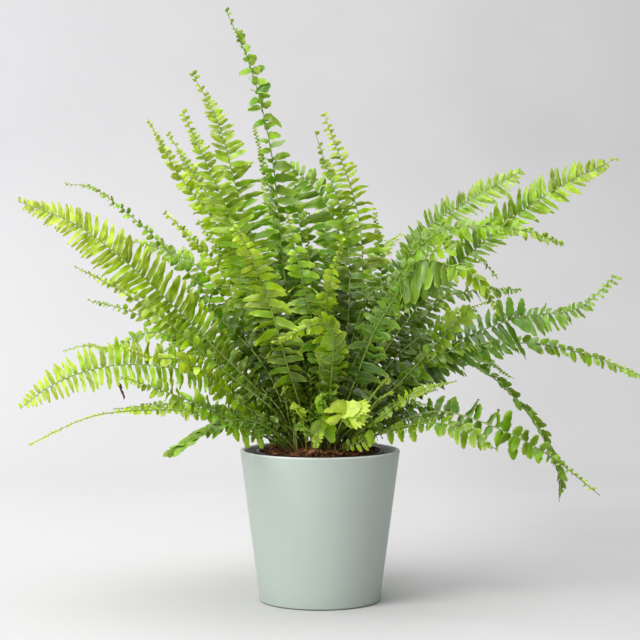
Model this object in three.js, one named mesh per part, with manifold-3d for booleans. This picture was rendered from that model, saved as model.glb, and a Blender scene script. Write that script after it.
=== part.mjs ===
// A sword fern in a black nursery pot, standing in a tapered ceramic planter.
// Millimetres, +Z up. The origin is the middle of the planter's foot, and the plant is seen from -Y.
import * as THREE from "three";
import { mergeVertices } from "three/addons/utils/BufferGeometryUtils.js";
import Module from "manifold-3d";

const wasm = await Module();
wasm.setup();

const GAP = 0.3; // between pieces that stand in or on each other
const PLANTER = { height: 142, rimRadius: 75, footRadius: 56.5, wall: 4, floor: 5, edge: 1.8, sides: 36 };
const NURSERY = {
  height: 135.4,
  rimRadius: 58.5,
  footRadius: 44,
  wall: 1.5,
  lip: 2,
  lipDepth: 5,
  drains: 5,
  drainRadius: 4,
  drainRing: 27,
  sides: 24, // the soil has as many
};
const SOIL = { edgeHeight: 138, heap: 6.5, lump: 0.9, rings: 3 };
const CROWN = { radius: 37, spacing: 8.6, sunk: 10 }; // where the stalks leave the soil
const RIB = { width: 2.5, height: 1.9, tipWidth: 1.1, tipHeight: 0.8, bareSteps: 4, holeRoom: 0.4 };
const LEAFLET = {
  tipThickness: 0.7,
  broadFrom: 15, // shorter leaflets end in a point
  broadPitch: 22,
  narrowPitch: 18.5,
  tipShare: 0.62, // width of a broad leaflet's end against its root
  forward: 12, // degrees towards the frond's tip, at the lowest leaflets
  forwardAtTip: 34,
  fold: 8, // degrees above the blade's plane
  bare: 0.18,
  peak: 0.4,
  tail: 0.08,
};
const CLEAR = { others: 2.2, own: 1.5, grain: 1.4 }; // between leaflets, and between their test points
const VIEWER = new THREE.Vector3(0, -0.97, 0.24); // the way to the side from which the plant is seen
const COLOURS = {
  planter: 0xb4c2b8,
  nursery: 0x1c1d1d,
  soil: 0x4a3626,
  lime: 0x9ccb35,
  bright: 0x6fb02c,
  mid: 0x4c8f2b,
  dark: 0x2f6a2c,
};

// Each frond: the places that its rib passes, the last of them its tip, then its longest leaflet, how far
// its face turns to the front (0 to 1), the degrees by which its leaflets rise above its blade, where they
// are longest and the share of its thin end (0 to 1 along the blade), the bare share of its rib, its own
// pitch and its colour. The first in the list have the first claim on the room between the fronds.
const FRONDS = {
  left_upper_broad: {
    rib: [[-100, -10, 240], [-175, -30, 315], [-225, -40, 353], [-275, -45, 373]],
    leaf: 25, face: 0.9, peak: 0.5, tail: 0.05, tone: "lime",
  },
  left_big_arc: {
    rib: [[-100, -30, 210], [-165, -55, 225], [-210, -65, 220], [-245, -70, 203], [-270, -70, 184]],
    leaf: 22, face: 0.8, peak: 0.6, tail: 0.04, tone: "lime",
  },
  right_reach: {
    rib: [[80, 10, 260], [170, 20, 345], [230, 22, 385], [280, 20, 415]],
    leaf: 19, face: 0.8, fold: 30, peak: 0.75, tail: 0.05, tone: "bright",
  },
  right_broad: {
    rib: [[95, -10, 225], [180, -15, 265], [240, -15, 275], [275, -10, 305]],
    leaf: 25, face: 0.65, peak: 0.65, tail: 0.14, tone: "mid",
  },
  tallest: {
    rib: [[-30, -20, 285], [-45, -30, 420], [-65, -40, 500], [-85, -50, 545]],
    leaf: 15, face: 0.8, fold: 35, peak: 0.7, tail: 0.09, tone: "mid",
  },
  top_left_inner: {
    rib: [[-45, 20, 250], [-80, 30, 345], [-110, 35, 385], [-145, 40, 440]],
    leaf: 18, face: 0.9, peak: 0.5, tail: 0.07, tone: "bright",
  },
  top_left_broad_a: {
    rib: [[-40, -20, 255], [-80, -40, 355], [-125, -50, 455]],
    leaf: 26, face: 0.95, peak: 0.55, tail: 0.08, tone: "bright",
  },
  top_left_broad_b: {
    rib: [[-35, -5, 265], [-75, 5, 375], [-95, 15, 445], [-120, 20, 495]],
    leaf: 26, face: 0.9, peak: 0.55, tail: 0.08, tone: "bright",
  },
  top_left_outer: {
    rib: [[-55, 0, 255], [-95, -10, 345], [-135, -15, 400], [-160, -20, 450]],
    leaf: 15, face: 0.9, peak: 0.5, tail: 0.06, tone: "lime",
  },
  top_right_broad_a: {
    rib: [[35, 30, 250], [40, 60, 355], [5, 70, 460]],
    leaf: 24, face: 0.95, peak: 0.55, tail: 0.08, tone: "lime",
  },
  top_right_broad_b: {
    rib: [[25, 0, 250], [25, 10, 345], [10, 10, 395], [-5, 10, 440]],
    leaf: 22, face: 0.9, peak: 0.5, tail: 0.1, tone: "bright",
  },
  front_left: {
    rib: [[-30, -50, 225], [-50, -80, 295], [-65, -90, 330], [-80, -90, 355]],
    leaf: 24, face: 1, tail: 0.12, tone: "lime",
  },
  front_mid: {
    rib: [[0, -60, 225], [-15, -100, 300], [-30, -120, 365]],
    leaf: 18, face: 1, tail: 0.1, tone: "bright",
  },
  front_dark: {
    rib: [[30, -50, 205], [50, -90, 260], [70, -115, 295], [80, -130, 315]],
    leaf: 23, face: 0.95, peak: 0.4, tail: 0.06, tone: "mid",
  },
  front_right_curtain: {
    rib: [[45, -70, 255], [85, -130, 320], [115, -160, 315]],
    leaf: 28, fold: -32, peak: 0.6, tail: 0.03, tone: "dark",
  },
  front_nodding: {
    rib: [[10, -60, 210], [5, -120, 265], [-40, -150, 250]],
    leaf: 18, face: 0.2, fold: -25, tone: "lime",
  },
  front_right: {
    rib: [[15, -60, 220], [5, -90, 280], [20, -100, 340]],
    leaf: 16, face: 1, tone: "lime",
  },
  right_low_long: {
    rib: [[105, -40, 181], [165, -65, 166], [205, -80, 145], [250, -90, 110]],
    leaf: 21, face: 0.8, tail: 0.2, tone: "bright",
  },
  right_droop: {
    rib: [[85, 30, 212], [145, 48, 218], [194, 60, 179], [218, 60, 143], [231, 60, 112], [232, 60, 85]],
    leaf: 13, face: 0.4, fold: 35, tone: "dark",
  },
  right_level: {
    rib: [[110, 20, 215], [190, 30, 240], [250, 30, 230], [315, 20, 205]],
    leaf: 12, face: 0.6, tail: 0.2, tone: "mid",
  },
  left_trailing: {
    rib: [[-105, -50, 180], [-150, -70, 185], [-205, -85, 180], [-260, -90, 155]],
    leaf: 14, face: 0.5, fold: 32, peak: 0.15, tail: 0.12, tone: "lime",
  },
  left_thin_high: {
    rib: [[-78, 44, 245], [-143, 48, 325], [-190, 50, 368], [-218, 50, 388], [-245, 50, 392]],
    leaf: 11, face: 0.7, tail: 0.05, tone: "mid",
  },
  right_nodding: {
    rib: [[50, -20, 265], [105, -45, 343], [170, -60, 349], [220, -60, 335]],
    leaf: 16, face: 0.6, tone: "bright",
  },
  right_high: {
    rib: [[50, 30, 250], [100, 50, 350], [145, 55, 380], [195, 60, 405]],
    leaf: 17, face: 0.7, peak: 0.6, tail: 0.05, tone: "bright",
  },
  left_thin_mid: {
    rib: [[-65, 40, 240], [-100, 55, 315], [-125, 60, 340], [-150, 60, 365]],
    leaf: 15, face: 0.8, tone: "lime",
  },
  left_mid_short: {
    rib: [[-65, 30, 235], [-115, 60, 310], [-155, 65, 330], [-195, 70, 340]],
    leaf: 18, face: 0.7, tone: "bright",
  },
  left_round_leaf: {
    rib: [[-75, -40, 190], [-120, -85, 230], [-155, -100, 235], [-175, -110, 245]],
    leaf: 14, face: 0.7, tone: "lime",
  },
  left_level: {
    rib: [[-80, 4, 222], [-130, 20, 245], [-165, 30, 250], [-200, 30, 230], [-245, 30, 230]],
    leaf: 12, face: 0.7, tone: "bright",
  },
  left_slim_a: {
    rib: [[-80, 8, 212], [-145, -6, 275], [-220, -10, 315]],
    leaf: 14, face: 0.7, tail: 0.2, tone: "mid",
  },
  left_slim_b: {
    rib: [[-85, -30, 215], [-140, -60, 265], [-175, -70, 290], [-220, -80, 315]],
    leaf: 14, face: 0.7, tail: 0.2, tone: "bright",
  },
  left_slim_c: {
    rib: [[-80, 40, 205], [-145, 50, 250], [-185, 55, 270], [-225, 60, 280]],
    leaf: 15, face: 0.7, tail: 0.2, tone: "dark",
  },
  left_front_slim: {
    rib: [[-80, -60, 175], [-125, -105, 200], [-175, -130, 220]],
    leaf: 14, face: 0.8, bare: 0.3, tone: "bright",
  },
  left_low_back: {
    rib: [[-80, 20, 170], [-140, 40, 180], [-200, 50, 175]],
    leaf: 13, face: 0.6, tone: "dark",
  },
  left_low_front: {
    rib: [[-65, -60, 175], [-100, -100, 170], [-135, -120, 150]],
    leaf: 18, face: 0.5, tone: "mid",
  },
  right_pale_small: {
    rib: [[55, -80, 180], [85, -110, 205], [120, -120, 215]],
    leaf: 10, face: 0.6, tone: "lime",
  },
  right_low_front: {
    rib: [[75, -70, 170], [115, -110, 175], [155, -130, 155]],
    leaf: 16, face: 0.7, tone: "lime",
  },
  right_bright: {
    rib: [[55, -50, 235], [90, -85, 305], [130, -105, 310], [160, -115, 270]],
    leaf: 17, face: 0.4, tone: "lime",
  },
  right_short_hook: {
    rib: [[55, 55, 235], [95, 85, 340], [145, 90, 330], [175, 90, 300]],
    leaf: 18, face: 0.6, tone: "mid",
  },
  right_dark: {
    rib: [[75, 40, 235], [115, 60, 280], [160, 65, 290], [195, 60, 290]],
    leaf: 18, face: 0.6, tone: "dark",
  },
  right_mid_back: {
    rib: [[65, 56, 192], [110, 92, 219], [145, 110, 205]],
    leaf: 18, face: 0.5, tone: "dark",
  },
  right_low_back: {
    rib: [[60, 40, 160], [95, 70, 175], [130, 80, 160]],
    leaf: 16, face: 0.5, tone: "dark",
  },
  top_mid_broad: {
    rib: [[25, 40, 240], [20, 60, 340], [-5, 70, 390], [-35, 80, 420]],
    leaf: 25, face: 1, peak: 0.35, tone: "mid",
  },
  top_back_slim: {
    rib: [[-15, 50, 250], [-40, 80, 350], [-65, 100, 450]],
    leaf: 15, face: 0.7, tone: "mid",
  },
  top_right_slim: {
    rib: [[36, 66, 220], [60, 100, 290], [55, 120, 365]],
    leaf: 16, face: 0.7, tone: "mid",
  },
  back_a: {
    rib: [[-20, 95, 240], [-40, 172, 300], [-70, 243, 298]],
    leaf: 22, tone: "mid",
  },
  back_b: {
    rib: [[35, 90, 250], [60, 160, 325], [85, 225, 345]],
    leaf: 24, tone: "bright",
  },
  back_c: {
    rib: [[-70, 80, 215], [-125, 150, 245], [-170, 205, 215]],
    leaf: 20, tone: "mid",
  },
  back_d: {
    rib: [[90, 80, 200], [150, 145, 225], [200, 195, 195]],
    leaf: 20, tone: "dark",
  },
  back_e: {
    rib: [[5, 90, 180], [10, 165, 190], [20, 225, 150]],
    leaf: 18, tone: "dark",
  },
  back_f: {
    rib: [[-25, 60, 260], [-45, 100, 350], [-60, 140, 400]],
    leaf: 20, tone: "bright",
  },
  back_g: {
    rib: [[10, 60, 270], [5, 105, 350], [-5, 150, 400]],
    leaf: 20, tone: "bright",
  },
  front_lime: {
    rib: [[15, -50, 162], [27, -60, 185], [46, -66, 192]],
    leaf: 13, face: 0.8, bare: 0.45, tone: "lime",
  },
  front_hanging: {
    rib: [[6, -48, 162], [9, -61, 178], [-1, -85, 153]],
    leaf: 9, face: 0.3, bare: 0.4, tone: "bright",
  },
  front_tiny: {
    rib: [[22, -48, 149], [34, -52, 153], [48, -58, 158]],
    leaf: 7, face: 0.5, bare: 0.3, tone: "lime",
  },
  crozier_high: {
    rib: [[34, -48, 172], [46, -58, 195], [59, -62, 212], [66, -64, 211], [63, -63, 206]],
    leaf: 0, face: 0.5, bare: 0.7, pitch: 4, tone: "lime",
  },
  crozier_low: {
    rib: [[40, -44, 168], [50, -52, 190], [64, -56, 200], [70, -58, 198], [66, -57, 194]],
    leaf: 0, face: 0.5, bare: 0.7, pitch: 4, tone: "lime",
  },
};

// Repeatable random numbers from 0 to 1.
function dice(seed) {
  let state = seed;
  return () => {
    state = (state * 1664525 + 1013904223) % 4294967296;
    return state / 4294967296;
  };
}

const radians = THREE.MathUtils.degToRad;
const lerp = THREE.MathUtils.lerp;

function turned(profile, sides) {
  return new THREE.LatheGeometry(profile.getPoints(2), sides).rotateX(Math.PI / 2);
}

function solidOf(geometry) {
  const bare = new THREE.BufferGeometry().setAttribute("position", geometry.getAttribute("position"));
  bare.setIndex(geometry.getIndex());
  const merged = mergeVertices(bare, 1e-4);
  const vertProperties = new Float32Array(merged.getAttribute("position").array);
  return new wasm.Manifold(
    new wasm.Mesh({ numProp: 3, vertProperties, triVerts: new Uint32Array(merged.getIndex().array) }),
  );
}

function geometryOf(solid) {
  const mesh = solid.getMesh();
  return new THREE.BufferGeometry()
    .setAttribute("position", new THREE.BufferAttribute(new Float32Array(mesh.vertProperties), 3))
    .setIndex(new THREE.BufferAttribute(new Uint32Array(mesh.triVerts), 1));
}

// The planter: a tapered cup with a flat foot and a softly rounded rim.
function planterGeometry() {
  const { height, rimRadius, footRadius, wall, floor, edge } = PLANTER;
  const radiusAt = (z) => lerp(footRadius, rimRadius, z / height);
  const outline = new THREE.Path()
    .lineTo(footRadius - edge, 0)
    .quadraticCurveTo(footRadius, 0, radiusAt(edge), edge)
    .lineTo(radiusAt(height - edge), height - edge)
    .quadraticCurveTo(rimRadius, height, rimRadius - wall / 2, height)
    .quadraticCurveTo(rimRadius - wall, height, radiusAt(height - edge) - wall, height - edge)
    .lineTo(radiusAt(floor) - wall, floor)
    .lineTo(0, floor);
  return turned(outline, PLANTER.sides);
}

const nurseryFloor = PLANTER.floor + GAP;
const nurseryRim = nurseryFloor + NURSERY.height;
const nurseryRadiusAt = (z) =>
  lerp(NURSERY.footRadius, NURSERY.rimRadius, (z - nurseryFloor) / NURSERY.height);

// The nursery pot: a thin tapered cup with an outward lip and round drain holes.
function nurseryGeometry() {
  const { wall, lip, lipDepth, drains, drainRadius, drainRing } = NURSERY;
  const lipFoot = nurseryRim - lipDepth;
  const outline = new THREE.Path()
    .moveTo(0, nurseryFloor)
    .lineTo(nurseryRadiusAt(nurseryFloor), nurseryFloor)
    .lineTo(nurseryRadiusAt(lipFoot), lipFoot)
    .lineTo(NURSERY.rimRadius + lip, lipFoot)
    .lineTo(NURSERY.rimRadius + lip, nurseryRim)
    .lineTo(nurseryRadiusAt(nurseryRim) - wall, nurseryRim)
    .lineTo(nurseryRadiusAt(nurseryFloor) - wall, nurseryFloor + wall)
    .lineTo(0, nurseryFloor + wall);
  let pot = solidOf(turned(outline, NURSERY.sides));
  for (let i = 0; i < drains; i++) {
    const angle = (i / drains) * 2 * Math.PI;
    const drain = new THREE.CylinderGeometry(drainRadius, drainRadius, 4 * wall, 8)
      .rotateX(Math.PI / 2)
      .translate(drainRing * Math.cos(angle), drainRing * Math.sin(angle), nurseryFloor);
    pot = pot.subtract(solidOf(drain));
  }
  return geometryOf(pot);
}

const soilRadiusAt = (z) => nurseryRadiusAt(z) - NURSERY.wall - GAP;

// The soil's top: heaped in the middle, with low lumps.
function soilHeight(x, y) {
  const out = Math.min(1, Math.hypot(x, y) / soilRadiusAt(SOIL.edgeHeight));
  const lumps = Math.sin(x / 6.1 + 1) * Math.cos(y / 5.3) * SOIL.lump * (1 - out ** 4);
  return SOIL.edgeHeight + SOIL.heap * (1 - out ** 2) + lumps;
}

// The soil, with a plain hole for each stalk.
function soilGeometry(stalks) {
  const bottom = nurseryFloor + NURSERY.wall + GAP;
  const rim = soilRadiusAt(SOIL.edgeHeight);
  const outline = new THREE.Path().moveTo(0, bottom).lineTo(soilRadiusAt(bottom), bottom);
  for (let ring = SOIL.rings; ring >= 0; ring--) outline.lineTo((rim * ring) / SOIL.rings, SOIL.edgeHeight);
  const merged = new THREE.BufferGeometry();
  const plain = turned(outline, NURSERY.sides);
  merged.setAttribute("position", plain.getAttribute("position")).setIndex(plain.getIndex());
  const ground = mergeVertices(merged, 1e-3);
  const place = ground.getAttribute("position");
  for (let i = 0; i < place.count; i++)
    if (place.getZ(i) > SOIL.edgeHeight - 1) place.setZ(i, soilHeight(place.getX(i), place.getY(i)));
  return geometryOf(stalks.reduce((soil, stalk) => soil.subtract(solidOf(stalk)), solidOf(ground)));
}

// Where the stalks leave the soil: leaning fronds at the crown's edge, upright ones near its middle, and then
// neighbours moved apart.
function rootsOf(rows) {
  const roots = rows.map(({ rib: [[x, y, z]] }) => {
    const out = Math.hypot(x, y);
    const radius = Math.min(CROWN.radius, 6 + (15 * out) / (z - SOIL.edgeHeight));
    return new THREE.Vector2(x, y).multiplyScalar(radius / out);
  });
  for (let round = 0; round < 400; round++)
    roots.forEach((a, i) => {
      for (const b of roots.slice(i + 1)) {
        const apart = new THREE.Vector2().subVectors(b, a);
        const short = CROWN.spacing - apart.length();
        if (short <= 0) continue;
        apart.setLength(short / 2);
        a.sub(apart);
        b.add(apart);
      }
      a.clampLength(0, CROWN.radius);
    });
  return roots.map((p) => new THREE.Vector3(p.x, p.y, soilHeight(p.x, p.y)));
}

// The line of a frond's rib: straight down into the soil, steep above it, then out to its tip.
function ribCurve(row, root) {
  const places = row.rib.map((place) => new THREE.Vector3(...place));
  const foot = root.clone().setZ(root.z - CROWN.sunk);
  const neck = root.clone().lerp(places[0], 0.25).setZ(lerp(root.z, places[0].z, 0.4));
  const curve = new THREE.CatmullRomCurve3([foot, root, neck, ...places], false, "centripetal");
  curve.arcLengthDivisions = 160;
  return curve;
}

// The rib's place, direction, side and upper face at a share of its length.
function ribFrame(row, curve, share) {
  const point = curve.getPointAt(share);
  const along = curve.getTangentAt(share);
  const [x, y] = row.rib.at(-1);
  const outward = new THREE.Vector3(x, y, 0).normalize();
  const level = new THREE.Vector3(-outward.y, outward.x, 0);
  const side = level.addScaledVector(along, -level.dot(along)).normalize();
  const up = new THREE.Vector3().crossVectors(along, side);
  const viewer = VIEWER.clone().addScaledVector(along, -VIEWER.dot(along)).normalize();
  const whole = Math.atan2(new THREE.Vector3().crossVectors(up, viewer).dot(along), up.dot(viewer));
  const face = up.applyAxisAngle(along, whole * (row.face ?? 0) * THREE.MathUtils.smoothstep(share, 0, 0.35));
  return { point, along, face, side: new THREE.Vector3().crossVectors(face, along) };
}

// A closed skin gathered from points and faces.
class Skin {
  points = [];
  faces = [];
  add(point) {
    this.points.push(point.x, point.y, point.z);
    return this.points.length / 3 - 1;
  }
  fan(ring) {
    for (let i = 1; i < ring.length - 1; i++) this.faces.push(ring[0], ring[i], ring[i + 1]);
  }
  pair(point, across, thickness) {
    return {
      top: this.add(point.clone().addScaledVector(across, thickness / 2)),
      bottom: this.add(point.clone().addScaledVector(across, -thickness / 2)),
    };
  }
  // A plate that grows from the rib's side between two of its corners, or the plain side if outer is empty.
  plate(from, outer, to, hand) {
    const path = [from, ...outer, to];
    const back = [from, to, ...outer.slice().reverse()];
    const [upper, lower] = hand > 0 ? [back, path] : [path, back];
    this.fan(upper.map((corner) => corner.top));
    this.fan(lower.map((corner) => corner.bottom));
    for (let i = 1; i < path.length; i++) {
      const [a, b] = hand > 0 ? [path[i - 1], path[i]] : [path[i], path[i - 1]];
      this.fan([a.top, b.top, b.bottom, a.bottom]);
    }
  }
  geometry() {
    const made = new THREE.BufferGeometry();
    made.setAttribute("position", new THREE.Float32BufferAttribute(this.points, 3)).setIndex(this.faces);
    made.computeVertexNormals();
    return made;
  }
}

// The four corners of the rib at one station.
function ribCorners(skin, { point, side, face }, width, height) {
  const edge = (hand) => point.clone().addScaledVector(side, (hand * width) / 2);
  return [1, -1].map((hand) => skin.pair(edge(hand), face, height));
}

// The rib's top and bottom between two stations, and its end caps.
function ribLength(skin, [left, right], [nextLeft, nextRight]) {
  skin.fan([left.top, right.top, nextRight.top, nextLeft.top]);
  skin.fan([left.bottom, nextLeft.bottom, nextRight.bottom, right.bottom]);
}

function ribCaps(skin, [left, right], [endLeft, endRight]) {
  skin.fan([left.top, left.bottom, right.bottom, right.top]);
  skin.fan([endLeft.top, endRight.top, endRight.bottom, endLeft.bottom]);
}

// What is already taken up by ribs and leaflets, as points in a grid.
class Room {
  cells = new Map();
  key(x, y, z) {
    return (x + 500) * 1e6 + (y + 500) * 1e3 + z + 500;
  }
  mark(point, owner, station, out) {
    const [x, y, z] = point.toArray().map((value) => Math.floor(value / CLEAR.others));
    const key = this.key(x, y, z);
    if (!this.cells.has(key)) this.cells.set(key, []);
    this.cells.get(key).push({ point, owner, station, out });
  }
  // A leaflet may come near its own frond only at its root.
  taken(point, owner, station, out) {
    const [x, y, z] = point.toArray().map((value) => Math.floor(value / CLEAR.others));
    for (let i = x - 1; i <= x + 1; i++)
      for (let j = y - 1; j <= y + 1; j++)
        for (let k = z - 1; k <= z + 1; k++)
          for (const other of this.cells.get(this.key(i, j, k)) ?? []) {
            const own = other.owner === owner;
            const joined = own && Math.abs(other.station - station) < 2 && Math.min(out, other.out) < 0.4;
            if (joined) continue;
            if (point.distanceTo(other.point) < (own ? CLEAR.own : CLEAR.others)) return true;
          }
    return false;
  }
}

// Clear of the planter, the nursery pot and the soil.
function aboveThePot(point) {
  const out = Math.hypot(point.x, point.y);
  if (out > PLANTER.rimRadius + 4) return true;
  if (out > NURSERY.rimRadius - 5) return point.z > PLANTER.height + 3;
  return point.z > soilHeight(point.x, point.y) + 2.5;
}

// Test points over a leaflet, each with its share of the way out from the rib.
function leafletPoints([from, to], [near, far]) {
  const rows = Math.ceil(Math.max(from.distanceTo(near), to.distanceTo(far)) / CLEAR.grain);
  const columns = Math.ceil(from.distanceTo(to) / CLEAR.grain);
  const points = [];
  for (let row = 1; row <= rows; row++)
    for (let column = 0; column <= columns; column++) {
      const inner = from.clone().lerp(to, column / columns);
      points.push([inner.lerp(near.clone().lerp(far, column / columns), row / rows), row / rows]);
    }
  return points;
}

// How long the leaflets are along the blade, from its lowest pair at 0 to its tip at 1.
function leafletShare({ peak = LEAFLET.peak, tail = LEAFLET.tail }, v) {
  const body = v / (1 - tail);
  if (body >= 1) return 0.2;
  const rise = lerp(0.45, 1, THREE.MathUtils.smoothstep(body, 0, peak));
  return rise * (1 - 0.8 * Math.max(0, (body - peak) / (1 - peak)) ** 1.7);
}

// The shares of the rib's length at which its sections stand: the bare stalk, then one interval to each pair.
function stationsOf(row, length) {
  const start = row.bare * length;
  const places = [0];
  for (let i = 0; i < RIB.bareSteps; i++) places.push(lerp(CROWN.sunk, start, i / RIB.bareSteps));
  let at = start;
  while (at < length - LEAFLET.narrowPitch / 2) {
    places.push(at);
    const share = leafletShare(row, (at - start) / (length - start));
    const broad = row.leaf * share > LEAFLET.broadFrom;
    at += broad ? LEAFLET.broadPitch : (row.pitch ?? LEAFLET.narrowPitch) * lerp(0.8, 1, share);
  }
  const stretch = (length - start) / (at - start);
  const stretched = (place) => (place <= start ? place : start + (place - start) * stretch);
  return [...places, at].map((place) => Math.min(1, stretched(place) / length));
}

// The free corners of one leaflet, at a trial length and lift.
function leafletCorners(a, b, hand, v, long, lift, forward) {
  const side = a.side.clone().add(b.side).normalize().multiplyScalar(hand);
  const face = a.face.clone().add(b.face).normalize();
  const along = b.point.clone().sub(a.point);
  const pitch = along.length();
  along.normalize();
  const reach = side.multiplyScalar(Math.cos(lift)).addScaledVector(face, Math.sin(lift));
  const out = reach.multiplyScalar(Math.cos(forward)).addScaledVector(along, Math.sin(forward));
  const across = new THREE.Vector3().crossVectors(out, along).multiplyScalar(-hand).normalize();
  const end = a.point.clone().lerp(b.point, 0.5).addScaledVector(out, long);
  if (long <= LEAFLET.broadFrom) return { across, near: end, far: end };
  const half = (pitch * LEAFLET.tipShare) / 2;
  const near = end.clone().addScaledVector(along, -half).addScaledVector(out, -0.14 * long);
  return { across, near, far: end.addScaledVector(along, half) };
}

// One leaflet, tried at full length first, then bent clear of what is there, then shorter.
function leaflet(room, owner, station, a, b, hand, v, row, roll) {
  const long = row.leaf * leafletShare(row, v) * (0.94 + 0.12 * roll());
  const lift = (row.fold ?? LEAFLET.fold) + 14 * (roll() - 0.5);
  const forward = radians(lerp(LEAFLET.forward, LEAFLET.forwardAtTip, v) + 8 * (roll() - 0.5));
  const rootOf = ({ point, side, width }) => point.clone().addScaledVector(side, (hand * width) / 2);
  for (const share of [1, 0.82, 0.64, 0.46])
    for (const bend of [0, 14, -14, 28, -28, 42, -42]) {
      const made = leafletCorners(a, b, hand, v, long * share, radians(lift + bend), forward);
      const points = leafletPoints([rootOf(a), rootOf(b)], [made.near, made.far]);
      const blocked = ([point, out]) => !aboveThePot(point) || room.taken(point, owner, station, out);
      if (points.some(blocked)) continue;
      points.forEach(([point, out]) => room.mark(point, owner, station, out));
      return made;
    }
  return null;
}

// The stations of a frond's rib, with its width and height at each.
function ribStations(row, curve) {
  return stationsOf(row, curve.getLength()).map((share) => ({
    ...ribFrame(row, curve, share),
    share,
    width: lerp(RIB.width, RIB.tipWidth, share),
    height: lerp(RIB.height, RIB.tipHeight, share),
  }));
}

function markRib(room, owner, stations) {
  stations.slice(1).forEach((b, i) => {
    const a = stations[i];
    const steps = Math.ceil(a.point.distanceTo(b.point));
    for (let step = 0; step <= steps; step++)
      for (const hand of [1, -1]) {
        const point = a.point.clone().lerp(b.point, step / steps);
        room.mark(point.addScaledVector(a.side, (hand * a.width) / 2), owner, i, 0);
      }
  });
}

function frondGeometry(room, owner, row, stations) {
  const skin = new Skin();
  const roll = dice(owner + 11);
  const corners = stations.map((station) => ribCorners(skin, station, station.width, station.height));
  const length = stations.length - 1;
  stations.slice(1).forEach((b, i) => {
    const a = stations[i];
    ribLength(skin, corners[i], corners[i + 1]);
    [1, -1].forEach((hand, column) => {
      const v = ((a.share + b.share) / 2 - row.bare) / (1 - row.bare);
      const made = v > 0 && row.leaf ? leaflet(room, owner, i, a, b, hand, v, row, roll) : null;
      const outer = made ? [...new Set([made.near, made.far])] : [];
      const free = outer.map((point) => skin.pair(point, made.across, LEAFLET.tipThickness));
      skin.plate(corners[i][column], free, corners[i + 1][column], hand);
    });
  });
  ribCaps(skin, corners[0], corners[length]);
  return skin.geometry();
}

// The shape cut from the soil for one stalk: its lowest lengths, with room round them.
function stalkHole(stations) {
  const skin = new Skin();
  const corners = stations.slice(0, 3).map((station, i) => {
    const point = station.point.clone();
    if (i === 0) point.z -= RIB.holeRoom;
    const [width, height] = [station.width, station.height].map((size) => size + 2 * RIB.holeRoom);
    return ribCorners(skin, { ...station, point }, width, height);
  });
  corners.slice(1).forEach((next, i) => {
    ribLength(skin, corners[i], next);
    [1, -1].forEach((hand, column) => skin.plate(corners[i][column], [], next[column], hand));
  });
  ribCaps(skin, corners[0], corners[corners.length - 1]);
  return skin.geometry();
}

function piece(name, geometry, color, roughness, metalness = 0) {
  const mesh = new THREE.Mesh(geometry, new THREE.MeshStandardMaterial({ color, roughness, metalness }));
  mesh.name = name;
  return mesh;
}

const plant = new THREE.Group();
const rows = Object.values(FRONDS);
rows.forEach((row) => (row.bare ??= LEAFLET.bare));
const curves = rootsOf(rows).map((root, i) => ribCurve(rows[i], root));
const stations = curves.map((curve, i) => ribStations(rows[i], curve));
const room = new Room();
stations.forEach((list, owner) => markRib(room, owner, list));
Object.entries(FRONDS).forEach(([name, row], i) =>
  plant.add(piece("frond_" + name, frondGeometry(room, i, row, stations[i]), COLOURS[row.tone], 0.5)),
);
plant.add(piece("planter", planterGeometry(), COLOURS.planter, 0.45));
plant.add(piece("nursery_pot", nurseryGeometry(), COLOURS.nursery, 0.5));
plant.add(piece("soil", soilGeometry(stations.map(stalkHole)), COLOURS.soil, 0.95));

export default plant;
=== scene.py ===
import math
import random
import bmesh
import bpy
from mathutils import Matrix, Vector, noise


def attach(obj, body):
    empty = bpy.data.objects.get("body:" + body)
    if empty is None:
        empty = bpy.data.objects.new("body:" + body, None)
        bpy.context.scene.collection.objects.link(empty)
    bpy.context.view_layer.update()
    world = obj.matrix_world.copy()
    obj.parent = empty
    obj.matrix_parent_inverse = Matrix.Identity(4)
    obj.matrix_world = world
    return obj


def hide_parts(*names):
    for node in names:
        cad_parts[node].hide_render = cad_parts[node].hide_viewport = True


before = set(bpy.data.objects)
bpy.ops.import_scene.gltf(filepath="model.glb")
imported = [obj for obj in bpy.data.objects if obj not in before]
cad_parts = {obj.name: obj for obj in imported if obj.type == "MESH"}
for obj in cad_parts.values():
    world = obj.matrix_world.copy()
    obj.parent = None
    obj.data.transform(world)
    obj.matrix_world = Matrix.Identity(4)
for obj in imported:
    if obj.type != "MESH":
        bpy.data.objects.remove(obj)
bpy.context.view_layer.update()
mm = 0.001


def clamp(value, low=0.0, high=1.0):
    return max(low, min(high, value))


def mix(a, b, share):
    return a + (b - a) * share


def smoothStep(value, start, end):
    share = clamp((value - start) / (end - start))
    return share * share * (3 - 2 * share)


def link(item):
    bpy.context.collection.objects.link(item)


def finishPiece(bm, name, material, replaced):
    mesh = bpy.data.meshes.new(name)
    bm.to_mesh(mesh)
    bm.free()
    mesh.materials.append(material)
    mesh.shade_smooth()
    piece = bpy.data.objects.new(name, mesh)
    link(piece)
    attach(piece, "root")
    if replaced:
        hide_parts(replaced)
    return piece


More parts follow.
